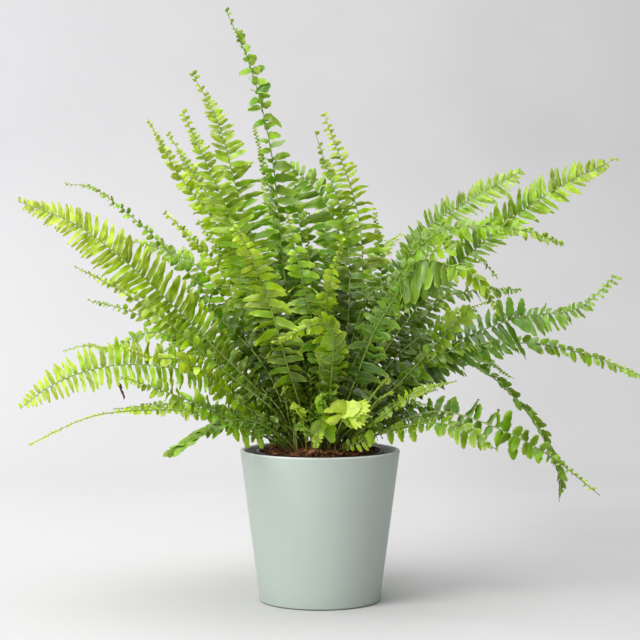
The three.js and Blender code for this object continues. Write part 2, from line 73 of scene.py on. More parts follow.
class Paint:  # a material and its nodes; an input is a number, a colour or another node's socket
    def __init__(self, name):
        self.material = bpy.data.materials.new(name)
        self.material.use_nodes = True
        self.tree = self.material.node_tree
        self.place = self.node("ShaderNodeTexCoord", {}).outputs["Object"]

    def node(self, kind, inputs, **settings):
        node = self.tree.nodes.new(kind)
        for key, value in settings.items():
            setattr(node, key, value)
        self.feed(node, inputs)
        return node

    def feed(self, node, inputs):
        for key, value in inputs.items():
            if isinstance(value, bpy.types.NodeSocket):
                self.tree.links.new(value, node.inputs[key])
            else:
                node.inputs[key].default_value = value

    def shade(self, inputs):
        self.feed(self.tree.nodes["Principled BSDF"], inputs)

    def split(self, vector):
        return self.node("ShaderNodeSeparateXYZ", {0: vector}).outputs

    def calc(self, operation, *values):
        return self.node("ShaderNodeMath", dict(enumerate(values)), operation=operation).outputs[0]

    def blend(self, share, first, second):
        return self.node("ShaderNodeMix", {0: share, 6: first, 7: second}, data_type="RGBA").outputs[2]

    def speckle(self, scale, detail=2.0, roughness=0.5):
        inputs = {"Vector": self.place, "Scale": scale, "Detail": detail, "Roughness": roughness}
        return self.node("ShaderNodeTexNoise", inputs).outputs["Fac"]

    def spread(self, value, low, high, toLow=0.0, toHigh=1.0):
        inputs = {0: value, 1: low, 2: high, 3: toLow, 4: toHigh}
        return self.node("ShaderNodeMapRange", inputs).outputs[0]

    def shift(self, colour, **inputs):
        return self.node("ShaderNodeHueSaturation", {"Color": colour, **inputs}).outputs[0]

    def bump(self, height, strength, distance):
        inputs = {"Height": height, "Strength": strength, "Distance": distance}
        self.shade({"Normal": self.node("ShaderNodeBump", inputs).outputs[0]})


def rgb(red, green, blue):
    return (red, green, blue, 1.0)


# the photo's view, worked out from the ellipses of the planter's rim and foot: m, degrees and mm
view = {"distance": 1.79, "eyeHeight": 0.336, "pitchDown": 2.33, "lens": 107.7, "sensor": 36}

camera = bpy.data.objects.new("camera", bpy.data.cameras.new("camera"))
camera.data.lens = view["lens"]
camera.data.sensor_width = view["sensor"]
camera.location = (0, -view["distance"], view["eyeHeight"])
camera.rotation_euler = (math.radians(90 - view["pitchDown"]), 0, 0)
link(camera)
bpy.context.scene.camera = camera
print("camera placed")

stage = {"halfWidth": 3.5, "front": -3.0, "back": 1.6, "bend": 0.7, "height": 3.0, "bendSteps": 12}


def makeBackdrop():
    mat = Paint("backdrop_paper")
    across, _, height = mat.split(mat.place)
    # painted shade: the wall is painted darker than the floor, and the paper darker to the right, as
    # the light falls off
    tint = mat.blend(mat.spread(height, 0.0, 0.5), rgb(0.73, 0.73, 0.73), rgb(0.565, 0.56, 0.57))
    paintedShadeGrey = rgb(0.42, 0.42, 0.425)
    tint = mat.blend(mat.spread(across, -0.5, 0.9, 0.0, 0.35), tint, paintedShadeGrey)
    right, left = mat.spread(across, 0.14, 0.3, 0.0, 0.45), mat.spread(across, -0.32, -0.1, 0.14, 0.0)
    low = mat.spread(height, 0.0, 0.3, 1.0, 0.3)  # painted shadow: the floor darkens on both sides of the planter
    tint = mat.blend(mat.calc("MULTIPLY", mat.calc("ADD", right, left), low), tint, paintedShadeGrey)
    tint = mat.blend(mat.speckle(3.0), tint, rgb(0.66, 0.655, 0.665))
    back = mat.node("ShaderNodeNewGeometry", {}).outputs["Backfacing"]
    seen = mat.calc("SUBTRACT", 1.0, back)  # from behind, the backdrop doesn't hide the plant
    mat.shade({"Base Color": tint, "Roughness": 0.95, "Specular IOR Level": 0.1, "Alpha": seen})
    bm = bmesh.new()
    ends = [bm.verts.new((side * stage["halfWidth"], stage["front"], 0)) for side in (-1, 1)]
    edge = bm.edges.new(ends)
    path = [(stage["back"] - stage["bend"], 0)]
    for step in range(1, stage["bendSteps"] + 1):
        angle = step / stage["bendSteps"] * math.pi / 2
        y = stage["back"] - stage["bend"] * (1 - math.sin(angle))
        path.append((y, stage["bend"] * (1 - math.cos(angle))))
    path.append((stage["back"], stage["height"]))
    for y, z in path:
        made = bmesh.ops.extrude_edge_only(bm, edges=[edge])["geom"]
        edge = next(item for item in made if isinstance(item, bmesh.types.BMEdge))
        for vert in edge.verts:
            vert.co = (vert.co.x, y, z)
    mesh = bpy.data.meshes.new("backdrop")
    bmesh.ops.recalc_face_normals(bm, faces=bm.faces)
    if min(bm.faces, key=lambda face: face.calc_center_median().z).normal.z < 0:
        bmesh.ops.reverse_faces(bm, faces=bm.faces)
    bm.to_mesh(mesh)
    bm.free()
    mesh.materials.append(mat.material)
    mesh.shade_smooth()
    floor = bpy.data.objects.new("backdrop", mesh)
    link(floor)


white, warm, cool = (1.0, 1.0, 1.0), (1.0, 0.985, 0.965), (1.0, 0.985, 1.02)
lights = {
    "key": {"at": (-1.42, -1.3, 1.5), "aim": (0, 0, 0.25), "power": 33, "size": 1.1, "colour": warm},
    "front": {"at": (-0.7, -2.2, 1.1), "aim": (0, 0, 0.25), "power": 17, "size": 1.4, "colour": white},
    "top": {"at": (0.1, 0.1, 2.2), "aim": (0.1, 0, 0), "power": 41, "size": 2.0, "colour": white},
    "wash": {"at": (-1.5, 0.5, 0.7), "aim": (-0.8, 1.6, 0.5), "power": 8, "size": 0.8, "colour": cool},
}
skyStrength = 0.1


def makeLights():
    for name, row in lights.items():
        data = bpy.data.lights.new(name, "AREA")
        data.energy = row["power"]
        data.size = row["size"]
        data.color = row["colour"]
        lamp = bpy.data.objects.new(name, data)
        lamp.location = row["at"]
        aim = Vector(row["aim"]) - lamp.location
        lamp.rotation_euler = aim.to_track_quat("-Z", "Y").to_euler()
        link(lamp)
    world = bpy.data.worlds.new("room")
    world.use_nodes = True
    sky = world.node_tree.nodes["Background"].inputs
    sky["Color"].default_value = rgb(0.97, 0.98, 1.0)
    sky["Strength"].default_value = skyStrength
    bpy.context.scene.world = world
    bpy.context.scene.view_settings.view_transform = "Standard"


makeBackdrop()
makeLights()
print("floor and lights placed")


planter = {
    "height": 142 * mm, "rimRadius": 75 * mm, "footRadius": 56.5 * mm, "wall": 4 * mm, "floor": 5 * mm,
    "rimRound": 1.7 * mm, "footRound": 1.5 * mm, "segments": 128, "rings": 10,
}


def glazeMaterial():
    mat = Paint("planter_glaze")
    cloud = mat.speckle(9.0, 3.0)
    grain = mat.speckle(900.0, 2.0)
    height = mat.split(mat.place)["Z"]
    tint = mat.blend(cloud, rgb(0.478, 0.562, 0.503), rgb(0.527, 0.608, 0.547))
    flat = mat.node("ShaderNodeVectorMath", {0: mat.place, 1: (1, 1, 0)}, operation="MULTIPLY")
    away = mat.node("ShaderNodeVectorMath", {0: flat.outputs[0]}, operation="LENGTH").outputs["Value"]
    top, wall = planter["height"], planter["wall"]
    outer = mat.spread(height, 0.0, top, planter["footRadius"], planter["rimRadius"])
    # painted light: the inner wall is painted near white, far lighter than the glaze outside, so that
    # it stays bright in the foliage's shade
    inside = mat.spread(mat.calc("SUBTRACT", outer, away), wall * 0.6, wall * 0.9)
    tint = mat.blend(inside, tint, rgb(0.95, 0.97, 0.95))
    # painted highlight: a pale line along the top edge of the rim
    rim = mat.spread(height, top - 1.6 * mm, top - 0.5 * mm, 0.0, 0.85)
    tint = mat.blend(rim, tint, rgb(0.86, 0.9, 0.87))
    # painted shadow: a dark line round the foot, where it meets the floor
    foot = mat.spread(height, 0.7 * mm, 1.5 * mm, 0.85, 0.0)
    tint = mat.blend(foot, tint, rgb(0.06, 0.07, 0.065))
    speck = mat.spread(mat.speckle(420.0, 0.0), 0.73, 0.78, 0.0, 0.12)
    tint = mat.blend(speck, tint, rgb(0.36, 0.42, 0.37))
    gloss = mat.spread(cloud, 0.3, 0.7, 0.36, 0.46)
    mat.shade({"Base Color": tint, "Roughness": gloss, "Specular IOR Level": 0.42})
    mat.bump(mat.calc("ADD", grain, mat.speckle(60.0)), 0.12, 0.0004)
    return mat.material


def spinProfile(bm, profile, segments):
    verts = [bm.verts.new((radius, 0, z)) for radius, z in profile]
    edges = [bm.edges.new(pair) for pair in zip(verts, verts[1:])]
    bmesh.ops.spin(bm, geom=verts + edges, cent=(0, 0, 0), axis=(0, 0, 1), angle=2 * math.pi,
                   steps=segments, use_merge=True, use_duplicate=False)
    bmesh.ops.remove_doubles(bm, verts=bm.verts, dist=1e-6)
    bmesh.ops.recalc_face_normals(bm, faces=bm.faces)


def ringEdges(bm, radius, z):
    def onRing(vert):
        return abs(vert.co.z - z) < 1e-5 and abs(vert.co.xy.length - radius) < 1e-5
    return [edge for edge in bm.edges if all(onRing(vert) for vert in edge.verts)]


def roundEdges(bm, edges, offset, segments=4):
    bmesh.ops.bevel(bm, geom=edges, offset=offset, affect="EDGES", segments=segments, profile=0.5,
                    material=-1)


def makePlanter():
    height, wall, floor = planter["height"], planter["wall"], planter["floor"]

    def radiusAt(z):
        return mix(planter["footRadius"], planter["rimRadius"], z / height)

    rings = planter["rings"]
    outside = [(radiusAt(height * i / rings), height * i / rings) for i in range(rings + 1)]
    levels = [mix(height, floor, i / rings) for i in range(rings + 1)]
    inside = [(radiusAt(z) - wall, z) for z in levels]
    bm = bmesh.new()
    spinProfile(bm, [(0, 0), *outside, *inside, (0, floor)], planter["segments"])
    rimRadius = planter["rimRadius"]
    rim = ringEdges(bm, rimRadius, height) + ringEdges(bm, rimRadius - wall, height)
    roundEdges(bm, rim, planter["rimRound"])
    roundEdges(bm, ringEdges(bm, planter["footRadius"], 0), planter["footRound"])
    finishPiece(bm, "planter_shell", glazeMaterial(), "planter")


makePlanter()
print("planter made")


# the nursery pot stands on the planter's floor
nursery = {
    "height": 135.4 * mm, "rimRadius": 58.5 * mm, "footRadius": 44 * mm, "wall": 1.5 * mm,
    "lip": 2 * mm, "lipDepth": 5 * mm, "lipRound": 0.5 * mm, "segments": 96,
    "drains": 5, "drainRadius": 4 * mm, "drainRing": 27 * mm, "drillDepth": 8 * mm,
}
nurseryFloor = planter["floor"] + 0.3 * mm
nurseryRim = nurseryFloor + nursery["height"]


def nurseryRadiusAt(z):
    return mix(nursery["footRadius"], nursery["rimRadius"], (z - nurseryFloor) / nursery["height"])


def plasticMaterial():
    mat = Paint("nursery_plastic")
    dust = mat.speckle(45.0, 4.0)
    tint = mat.blend(mat.spread(dust, 0.45, 0.75), rgb(0.012, 0.012, 0.013), rgb(0.04, 0.035, 0.03))
    mat.shade({"Base Color": tint, "Roughness": mat.spread(dust, 0.3, 0.7, 0.38, 0.62)})
    mat.bump(mat.speckle(1400.0), 0.15, 0.0002)
    return mat.material


def makeNurseryPot():
    wall, lipRadius = nursery["wall"], nursery["rimRadius"] + nursery["lip"]
    lipFoot = nurseryRim - nursery["lipDepth"]
    profile = [
        (0, nurseryFloor), (nurseryRadiusAt(nurseryFloor), nurseryFloor),
        (nurseryRadiusAt(lipFoot), lipFoot), (lipRadius, lipFoot), (lipRadius, nurseryRim),
        (nurseryRadiusAt(nurseryRim) - wall, nurseryRim),
        (nurseryRadiusAt(nurseryFloor) - wall, nurseryFloor + wall), (0, nurseryFloor + wall),
    ]
    bm = bmesh.new()
    spinProfile(bm, profile, nursery["segments"])
    lipEdges = ringEdges(bm, lipRadius, nurseryRim) + ringEdges(bm, lipRadius, lipFoot)
    roundEdges(bm, lipEdges, nursery["lipRound"], 2)
    pot = finishPiece(bm, "nursery_pot_shell", plasticMaterial(), "nursery_pot")

    drills = bmesh.new()
    for i in range(nursery["drains"]):
        angle = 2 * math.pi * i / nursery["drains"]
        at = Vector((math.cos(angle), math.sin(angle), 0)) * nursery["drainRing"]
        at.z = nurseryFloor
        bmesh.ops.create_cone(
            drills, cap_ends=True, segments=24, radius1=nursery["drainRadius"],
            radius2=nursery["drainRadius"], depth=nursery["drillDepth"], matrix=Matrix.Translation(at))
    drillMesh = bpy.data.meshes.new("drills")
    drills.to_mesh(drillMesh)
    drills.free()
    drill = bpy.data.objects.new("drills", drillMesh)
    link(drill)
    cut = pot.modifiers.new("drains", "BOOLEAN")
    cut.object = drill
    cut.operation = "DIFFERENCE"
    bpy.context.view_layer.update()
    drilled = pot.evaluated_get(bpy.context.evaluated_depsgraph_get())
    drilled = bpy.data.meshes.new_from_object(drilled)
    pot.modifiers.clear()
    pot.data = drilled
    bpy.data.objects.remove(drill)


makeNurseryPot()
print("nursery pot made")


# the soil fills the nursery pot and is heaped in its middle
soil = {
    "edgeHeight": 138 * mm, "heap": 6.5 * mm, "lump": 0.9 * mm, "crumb": 1.3 * mm, "gap": 0.3 * mm,
    "rings": 30, "segments": 120,
}
soilBottom = nurseryFloor + nursery["wall"] + soil["gap"]


def soilRadiusAt(z):
    return nurseryRadiusAt(z) - nursery["wall"] - soil["gap"]


def soilHeight(x, y):
    out = min(1.0, math.hypot(x, y) / soilRadiusAt(soil["edgeHeight"]))
    lumps = math.sin(x / mm / 6.1 + 1) * math.cos(y / mm / 5.3) * soil["lump"] * (1 - out ** 4)
    return soil["edgeHeight"] + soil["heap"] * (1 - out ** 2) + lumps


def onSoil(x, y):
    return Vector((x, y, soilHeight(x, y)))


def crumbHeight(x, y):
    spot = Vector((x, y, 0)) * 220
    rough = noise.fractal(spot, 0.8, 2.1, 4) + 0.5 * noise.noise(spot * 3.1)
    return soilHeight(x, y) + rough * soil["crumb"]


def soilMaterial():
    mat = Paint("peat_soil")
    coarse = mat.speckle(160.0, 6.0, 0.65)
    fine = mat.speckle(700.0, 3.0)
    tint = mat.blend(mat.spread(coarse, 0.35, 0.65), rgb(0.026, 0.014, 0.008), rgb(0.18, 0.08, 0.036))
    tint = mat.blend(mat.spread(fine, 0.55, 0.72), tint, rgb(0.2, 0.1, 0.05))
    mat.shade({"Base Color": tint, "Roughness": 0.92, "Specular IOR Level": 0.25})
    mat.bump(coarse, 0.8, 0.0012)
    return mat.material


def makeSoil():
    rings, rim = soil["rings"], soilRadiusAt(soil["edgeHeight"])
    profile = [(0, soilBottom), (soilRadiusAt(soilBottom), soilBottom)]
    profile += [(rim * ring / rings, soil["edgeHeight"]) for ring in range(rings, -1, -1)]
    bm = bmesh.new()
    spinProfile(bm, profile, soil["segments"])
    for vert in bm.verts:
        if vert.co.z > soil["edgeHeight"] - mm:
            inner = 1 - smoothStep(vert.co.xy.length / rim, 0.94, 1)
            vert.co.z = mix(soilHeight(vert.co.x, vert.co.y), crumbHeight(vert.co.x, vert.co.y), inner)
    finishPiece(bm, "soil_mound", soilMaterial(), "soil")


makeSoil()
print("soil made")


# A frond's rib lists the places that it passes in mm, its tip last; leaf is its longest leaflet in mm.
# face: how far the blade turns to the viewer; fold: the leaflets' lift in degrees, all along or at
# root and tip; form: the shape of its long leaflets; wide, gap: their width and spacing; peak, tail:
# where they are longest and how much of the tip is thin; lean, skew: degrees forward, on both hands
# and more on one; hang: how far they sag; uneven: how much shorter one hand's are; wild: disorder;
# bare: the share of the rib without leaflets; youth: paler above 0; curl: a rolled tip's radius in mm.
def addFrond(name, tone, leaf, rib, **form):
    fronds[name] = {"tone": tone, "leaf": leaf, "rib": rib, **form}


fronds = {}
addFrond("left_upper_broad", "lime", 27,
    [(-100, -10, 240), (-175, -30, 315), (-225, -40, 353), (-275, -45, 373)], face=0.9, wide=0.78,
    gap=1.0, peak=0.55, tail=0.03, uneven=-0.1, wild=0.15)
addFrond("left_big_arc", "lime", 21,
    [(-100, -30, 210), (-165, -55, 225), (-210, -65, 220), (-245, -70, 205), (-270, -70, 186)],
    face=0.8, wide=0.85, gap=1.15, peak=0.65, tail=0.02, lean=-28, uneven=-0.25, wild=0.12, youth=-0.25)
addFrond("right_reach", "bright", 23, [(80, 10, 260), (168, 20, 348), (228, 22, 389), (280, 20, 415)],
    face=0.9, fold=(45, 5), wide=0.82, gap=0.95, peak=0.8, tail=0.03, hang=-0.05, uneven=0.15,
    wild=0.35, youth=-0.25)
addFrond("right_broad", "mid", 24, [(95, -10, 225), (180, -15, 265), (240, -15, 275), (275, -10, 305)],
    face=0.65, wide=0.95, gap=1.1, peak=0.35, tail=0.12, lean=-5, hang=0.12, uneven=-0.4, wild=0.35,
    youth=-0.25)
addFrond("tallest", "mid", 19, [(-30, -20, 285), (-45, -30, 420), (-65, -40, 500), (-85, -50, 545)],
    face=0.8, fold=35, wide=1.4, gap=1.15, peak=0.5, tail=0.05, skew=8, uneven=-0.35, wild=1.5)
addFrond("top_left_inner", "bright", 18,
    [(-45, 20, 250), (-80, 30, 345), (-110, 35, 385), (-145, 40, 440)], face=0.9, peak=0.5, tail=0.07,
    skew=14, wild=0.5)
addFrond("top_left_broad_a", "bright", 26, [(-40, -20, 255), (-80, -40, 355), (-125, -50, 455)],
    face=0.95, wide=0.92, gap=1.05, peak=0.55, skew=15, wild=0.45)
addFrond("top_left_broad_b", "bright", 26,
    [(-35, -5, 265), (-75, 5, 375), (-95, 15, 445), (-120, 20, 495)], face=0.9, wide=0.9, gap=1.1,
    peak=0.55, skew=12, uneven=-0.15, wild=0.5)
addFrond("top_left_outer", "lime", 17,
    [(-55, 0, 255), (-92, -10, 345), (-132, -15, 400), (-159, -20, 450)], face=0.9, wide=1.1, gap=1.0,
    peak=0.5, tail=0.06, skew=15, wild=0.7, youth=-0.1)
addFrond("top_right_broad_a", "lime", 28, [(35, 30, 250), (38, 60, 355), (4, 70, 460)], face=0.95,
    wide=0.78, gap=1.35, peak=0.55, skew=6, hang=0.35, wild=0.5)
addFrond("top_right_broad_b", "bright", 22, [(25, 0, 250), (25, 10, 345), (10, 10, 395), (-5, 10, 440)],
    face=0.9, wide=1.15, peak=0.5, tail=0.1, skew=8, wild=0.6)
addFrond("front_left", "lime", 24, [(-30, -50, 225), (-50, -80, 295), (-65, -90, 330), (-80, -90, 355)],
    face=1, wide=1.15, peak=0.55, tail=0.06, lean=-6, skew=18, hang=0.35, wild=0.35)
addFrond("front_mid", "bright", 18, [(0, -60, 225), (-15, -100, 300), (-30, -120, 365)], face=1,
    wide=1.35, peak=0.6, tail=0.05, lean=-6, skew=12, hang=0.3, wild=0.7, youth=-0.1)
addFrond("front_dark", "mid", 25, [(30, -50, 205), (50, -90, 260), (70, -115, 295), (80, -130, 315)],
    face=0.95, wide=1.15, gap=1.15, tail=0.06, skew=-22, hang=0.35, wild=0.35, youth=-0.22)
addFrond("front_right_curtain", "dark", 32, [(45, -70, 255), (85, -130, 320), (115, -160, 315)],
    form="oval", fold=-68, wide=1.5, gap=0.8, peak=0.5, tail=0.02, lean=-15, hang=0.3, bare=0.62,
    youth=-0.05)
addFrond("front_nodding", "lime", 18, [(10, -60, 210), (5, -120, 265), (-40, -150, 250)], face=0.9,
    fold=-10, wide=1.6, gap=0.9, lean=10, wild=0.4, youth=-0.2)
addFrond("front_right", "lime", 16, [(15, -60, 220), (5, -90, 280), (20, -100, 340)], face=1, wide=1.4,
    peak=0.6, hang=0.3, wild=0.8)
addFrond("right_low_long", "bright", 21,
    [(105, -40, 181), (165, -65, 166), (205, -80, 145), (250, -90, 110)], form="oval", face=0.9,
    wide=1.5, gap=1.0, peak=0.6, tail=0.22, lean=-26, uneven=0.25, wild=0.8, bare=0.15, youth=-0.38)
addFrond("right_droop", "dark", 13,
    [(85, 30, 212), (145, 48, 218), (194, 60, 179), (218, 60, 143), (231, 60, 112), (232, 60, 85)],
    face=0.4, fold=40, wide=1.5, gap=0.95, peak=0.9, tail=0.02, wild=0.35, youth=0.15)
addFrond("right_level", "mid", 12, [(110, 20, 215), (190, 30, 240), (250, 30, 230), (315, 20, 205)],
    face=0.6, wide=1.6, gap=1.1, peak=0.55, tail=0.02, uneven=-0.1, wild=0.4)
addFrond("left_trailing", "lime", 13,
    [(-105, -50, 180), (-150, -70, 185), (-205, -85, 180), (-260, -90, 155)], face=0.5, fold=(10, 25),
    wide=1.3, peak=0.12, tail=0.35, wild=0.5)
addFrond("left_thin_high", "mid", 11,
    [(-78, 44, 245), (-143, 48, 325), (-190, 50, 368), (-218, 50, 388), (-245, 50, 392)], face=0.7,
    wide=1.3, gap=1.4, tail=0.05, wild=1.0)
addFrond("right_nodding", "bright", 14,
    [(50, -20, 265), (105, -45, 343), (170, -60, 349), (220, -60, 335)], face=0.6, wide=1.3, gap=0.85,
    peak=0.7, tail=0.0, wild=0.7, youth=-0.25)
addFrond("right_high", "bright", 19, [(50, 30, 250), (102, 50, 347), (147, 55, 378), (195, 60, 405)],
    face=0.7, wide=0.65, gap=1.0, peak=0.82, tail=0.0, hang=0.0, youth=-0.24)
addFrond("left_thin_mid", "lime", 18,
    [(-65, 40, 240), (-100, 55, 315), (-125, 60, 340), (-150, 60, 365)], face=0.8, wide=1.2, wild=0.6)
addFrond("left_mid_short", "bright", 23,
    [(-65, 30, 235), (-115, 60, 310), (-155, 65, 330), (-195, 70, 340)], face=0.7, wide=1.2, wild=0.5)
addFrond("left_round_leaf", "lime", 14,
    [(-75, -40, 190), (-120, -85, 230), (-155, -100, 235), (-175, -110, 245)], face=0.7, wide=1.5,
    wild=0.8)
addFrond("left_level", "bright", 12,
    [(-80, 4, 222), (-130, 20, 245), (-165, 30, 250), (-200, 30, 234), (-222, 30, 238),
     (-245, 30, 232)], face=0.7, wide=1.3, wild=0.6)
addFrond("left_slim_a", "mid", 11, [(-80, 8, 212), (-145, -6, 272), (-216, -10, 308)], face=0.7,
    wide=1.3, gap=1.6, tail=0.04, wild=0.7, youth=0.15)
addFrond("left_slim_b", "bright", 11,
    [(-85, -30, 215), (-140, -60, 265), (-175, -70, 290), (-220, -80, 315)], face=0.7, wide=1.3,
    gap=1.6, tail=0.04, wild=0.7, youth=0.15)
addFrond("left_slim_c", "dark", 12, [(-80, 40, 205), (-145, 50, 250), (-185, 55, 270), (-225, 60, 280)],
    face=0.7, wide=1.4, gap=1.5, tail=0.04, wild=0.6, youth=0.3)
addFrond("left_front_slim", "bright", 14, [(-80, -60, 175), (-125, -105, 200), (-175, -130, 220)],
    face=0.8, wide=1.3, wild=0.7, bare=0.3)
addFrond("left_low_back", "dark", 9, [(-80, 20, 170), (-140, 40, 180), (-200, 50, 175)], face=0.6,
    wide=1.2, wild=0.5)
addFrond("left_low_front", "mid", 14, [(-65, -60, 175), (-100, -100, 170), (-135, -120, 150)],
    face=0.5, wide=1.4, gap=0.7, peak=0.8, tail=0.0, lean=38, wild=0.4, youth=-0.15)
addFrond("right_pale_small", "lime", 7, [(55, -80, 180), (85, -110, 205), (120, -120, 215)],
    face=0.6, wide=1.3, wild=0.6, bare=0.4, youth=-0.25)
addFrond("right_low_front", "lime", 13, [(75, -70, 170), (115, -110, 175), (155, -130, 155)],
    face=0.7, wide=1.6, gap=0.9, peak=0.75, hang=0.2, wild=0.5, bare=0.36, youth=-0.55)
addFrond("right_bright", "lime", 15,
    [(55, -50, 235), (90, -85, 305), (130, -105, 310), (160, -115, 270)], face=0.4, wide=1.6, peak=0.7,
    tail=0.03, wild=0.6, youth=-0.4)
addFrond("right_short_hook", "mid", 18, [(55, 55, 235), (95, 85, 340), (145, 90, 330), (175, 90, 300)],
    face=0.6, wide=1.2, wild=0.6)
addFrond("right_dark", "dark", 12, [(75, 40, 235), (115, 60, 280), (160, 65, 290), (195, 60, 290)],
    face=0.6, wide=1.2, peak=0.6, tail=0.0, hang=0.4, wild=0.8)
addFrond("right_mid_back", "dark", 18, [(65, 56, 192), (110, 92, 219), (145, 110, 205)], face=0.5,
    wide=1.2, wild=0.5)
addFrond("right_low_back", "dark", 16, [(60, 40, 160), (95, 70, 175), (130, 80, 160)], face=0.5,
    wide=1.2, hang=0.3, wild=0.5)
addFrond("top_mid_broad", "mid", 27, [(25, 40, 240), (20, 60, 340), (-5, 70, 388), (-32, 80, 411)],
    face=1, wide=0.9, gap=1.05, peak=0.85, tail=0.0, uneven=0.25)
addFrond("top_back_slim", "mid", 15, [(-15, 50, 250), (-40, 80, 350), (-65, 100, 450)], face=0.7,
    wide=1.2, wild=0.6)
addFrond("top_right_slim", "mid", 16, [(36, 66, 220), (60, 100, 290), (55, 120, 365)], face=0.7,
    wide=1.2, wild=0.5)
addFrond("back_a", "mid", 22, [(-20, 95, 240), (-40, 172, 300), (-70, 243, 298)])
addFrond("back_b", "bright", 24, [(35, 90, 250), (60, 160, 325), (85, 225, 345)])
addFrond("back_c", "mid", 20, [(-70, 80, 215), (-125, 150, 245), (-170, 205, 215)])
addFrond("back_d", "dark", 20, [(90, 80, 200), (150, 145, 225), (200, 195, 195)])
addFrond("back_e", "dark", 18, [(5, 90, 180), (10, 165, 190), (20, 225, 150)])
addFrond("back_f", "bright", 20, [(-25, 60, 260), (-45, 100, 350), (-60, 140, 400)])
addFrond("back_g", "bright", 20, [(10, 60, 270), (5, 105, 350), (-5, 150, 400)])
addFrond("front_lime", "lime", 0, [(15, -50, 162), (27, -60, 185), (46, -66, 192)], face=0.8, bare=0.6,
    youth=0.8)
addFrond("front_hanging", "bright", 9, [(2, -46, 162), (1, -60, 178), (-4, -84, 152)], face=0.9,
    wide=0.8, gap=0.85, peak=0.3, tail=0.0, wild=0.2, bare=0.4, youth=0.2)
addFrond("front_tiny", "lime", 9, [(22, -48, 149), (34, -52, 153), (48, -58, 158)], face=0.9, wide=0.95,
    gap=1.3, peak=0.5, tail=0.0, wild=0.15, bare=0.42, youth=0.1)
addFrond("crozier_high", "lime", 2.2, [(34, -48, 172), (46, -58, 195), (59, -62, 212)], face=0.5,
    wild=0.5, bare=0.7, youth=0.8, curl=3.0)
addFrond("crozier_low", "lime", 2.2, [(40, -44, 168), (50, -52, 190), (64, -56, 200)], face=0.5,
    wild=0.5, bare=0.7, youth=0.8, curl=1.6)

# where the stalks leave the soil: in mm, and shares of the way to the rib's first place
crown = {
    "radius": 37, "middle": 6, "flare": 15, "spacing": 8.6, "rounds": 400, "sunk": 10,
    "neckOut": 0.25, "neckUp": 0.4, "spanSteps": 24,
}
crozier = {"steps": 30, "halfTurns": 3.3, "closing": 0.66}
viewerSide = Vector((0, -0.97, 0.24))


def placeRoots():
    roots = []
    for row in fronds.values():
        x, y, z = row["rib"][0]
        out = math.hypot(x, y)
        flare = crown["flare"] * out / (z - soil["edgeHeight"] / mm)
        radius = min(crown["radius"], crown["middle"] + flare)
        roots.append(Vector((x, y)) * (radius / out))
    for _ in range(crown["rounds"]):
        for i, first in enumerate(roots):
            for second in roots[i + 1:]:
                apart = second - first
                short = crown["spacing"] - apart.length
                if short > 0:
                    push = apart.normalized() * (short / 2)
                    first -= push
                    second += push
            if first.length > crown["radius"]:
                first.length = crown["radius"]
    return [onSoil(root.x * mm, root.y * mm) for root in roots]


def levelAcross(row):
    x, y, _ = row["rib"][-1]
    return Vector((-y, x, 0)).normalized()


def squareTo(vector, axis):
    return (vector - axis * vector.dot(axis)).normalized()


def catmullRom(before, start, end, after, share):
    first, middle, last = (
        max((b - a).length, 1e-6) ** 0.5 for a, b in ((before, start), (start, end), (end, after)))
    step = (end - start) / middle
    leave = ((start - before) / first - (end - before) / (first + middle) + step) * middle
    arrive = (step - (after - start) / (middle + last) + (after - end) / last) * middle
    square, cube = share ** 2, share ** 3
    return (start * (2 * cube - 3 * square + 1) + leave * (cube - 2 * square + share)
            + end * (3 * square - 2 * cube) + arrive * (cube - square))


def curlPoints(row, before, end):  # the rolled-up end of a young frond
    along, steps = (end - before).normalized(), crozier["steps"]
    inward = levelAcross(row).cross(along).normalized()
    middle, wide = end + inward * row["curl"] * mm, row["curl"] * mm
    points = []
    for step in range(1, steps + 1):
        angle = step / steps * crozier["halfTurns"] * math.pi
        radius = wide * (1 - crozier["closing"] * step / steps)
        points.append(middle + (along * math.sin(angle) - inward * math.cos(angle)) * radius)
    return points


def traceRib(row, root):
    places = [Vector(place) * mm for place in row["rib"]]
    foot = root - Vector((0, 0, crown["sunk"] * mm))
    neck = root.lerp(places[0], crown["neckOut"])
    neck.z = mix(root.z, places[0].z, crown["neckUp"])
    line = [foot, root, neck, *places]
    line = [2 * line[0] - line[1], *line, 2 * line[-1] - line[-2]]
    points, steps = [line[1]], crown["spanSteps"]
    for i in range(1, len(line) - 2):
        points += [catmullRom(*line[i - 1:i + 3], step / steps) for step in range(1, steps + 1)]
    if "curl" in row:
        points += curlPoints(row, points[-2], points[-1])
    runs = [0.0]
    for first, second in zip(points, points[1:]):
        runs.append(runs[-1] + (second - first).length)
    return {"points": points, "runs": runs, "length": runs[-1], "row": row}


def pointAt(rib, run):
    runs, points = rib["runs"], rib["points"]
    run = clamp(run, 0, rib["length"])
    i = next((i for i in range(1, len(runs)) if runs[i] >= run), len(runs) - 1)
    share = (run - runs[i - 1]) / (runs[i] - runs[i - 1])
    return points[i - 1].lerp(points[i], share)


def frameAt(rib, run):
    row, share = rib["row"], run / rib["length"]
    point, nearby = pointAt(rib, run), 0.6 * mm
    along = (pointAt(rib, run + nearby) - pointAt(rib, run - nearby)).normalized()
    up = along.cross(squareTo(levelAcross(row), along))
    viewer = squareTo(viewerSide, along)
    turn = math.atan2(up.cross(viewer).dot(along), up.dot(viewer))
    turn *= row.get("face", 0) * smoothStep(share, 0, 0.35)
    face = up.copy()
    face.rotate(Matrix.Rotation(turn, 3, along))
    return {"point": point, "along": along, "face": face, "side": face.cross(along)}


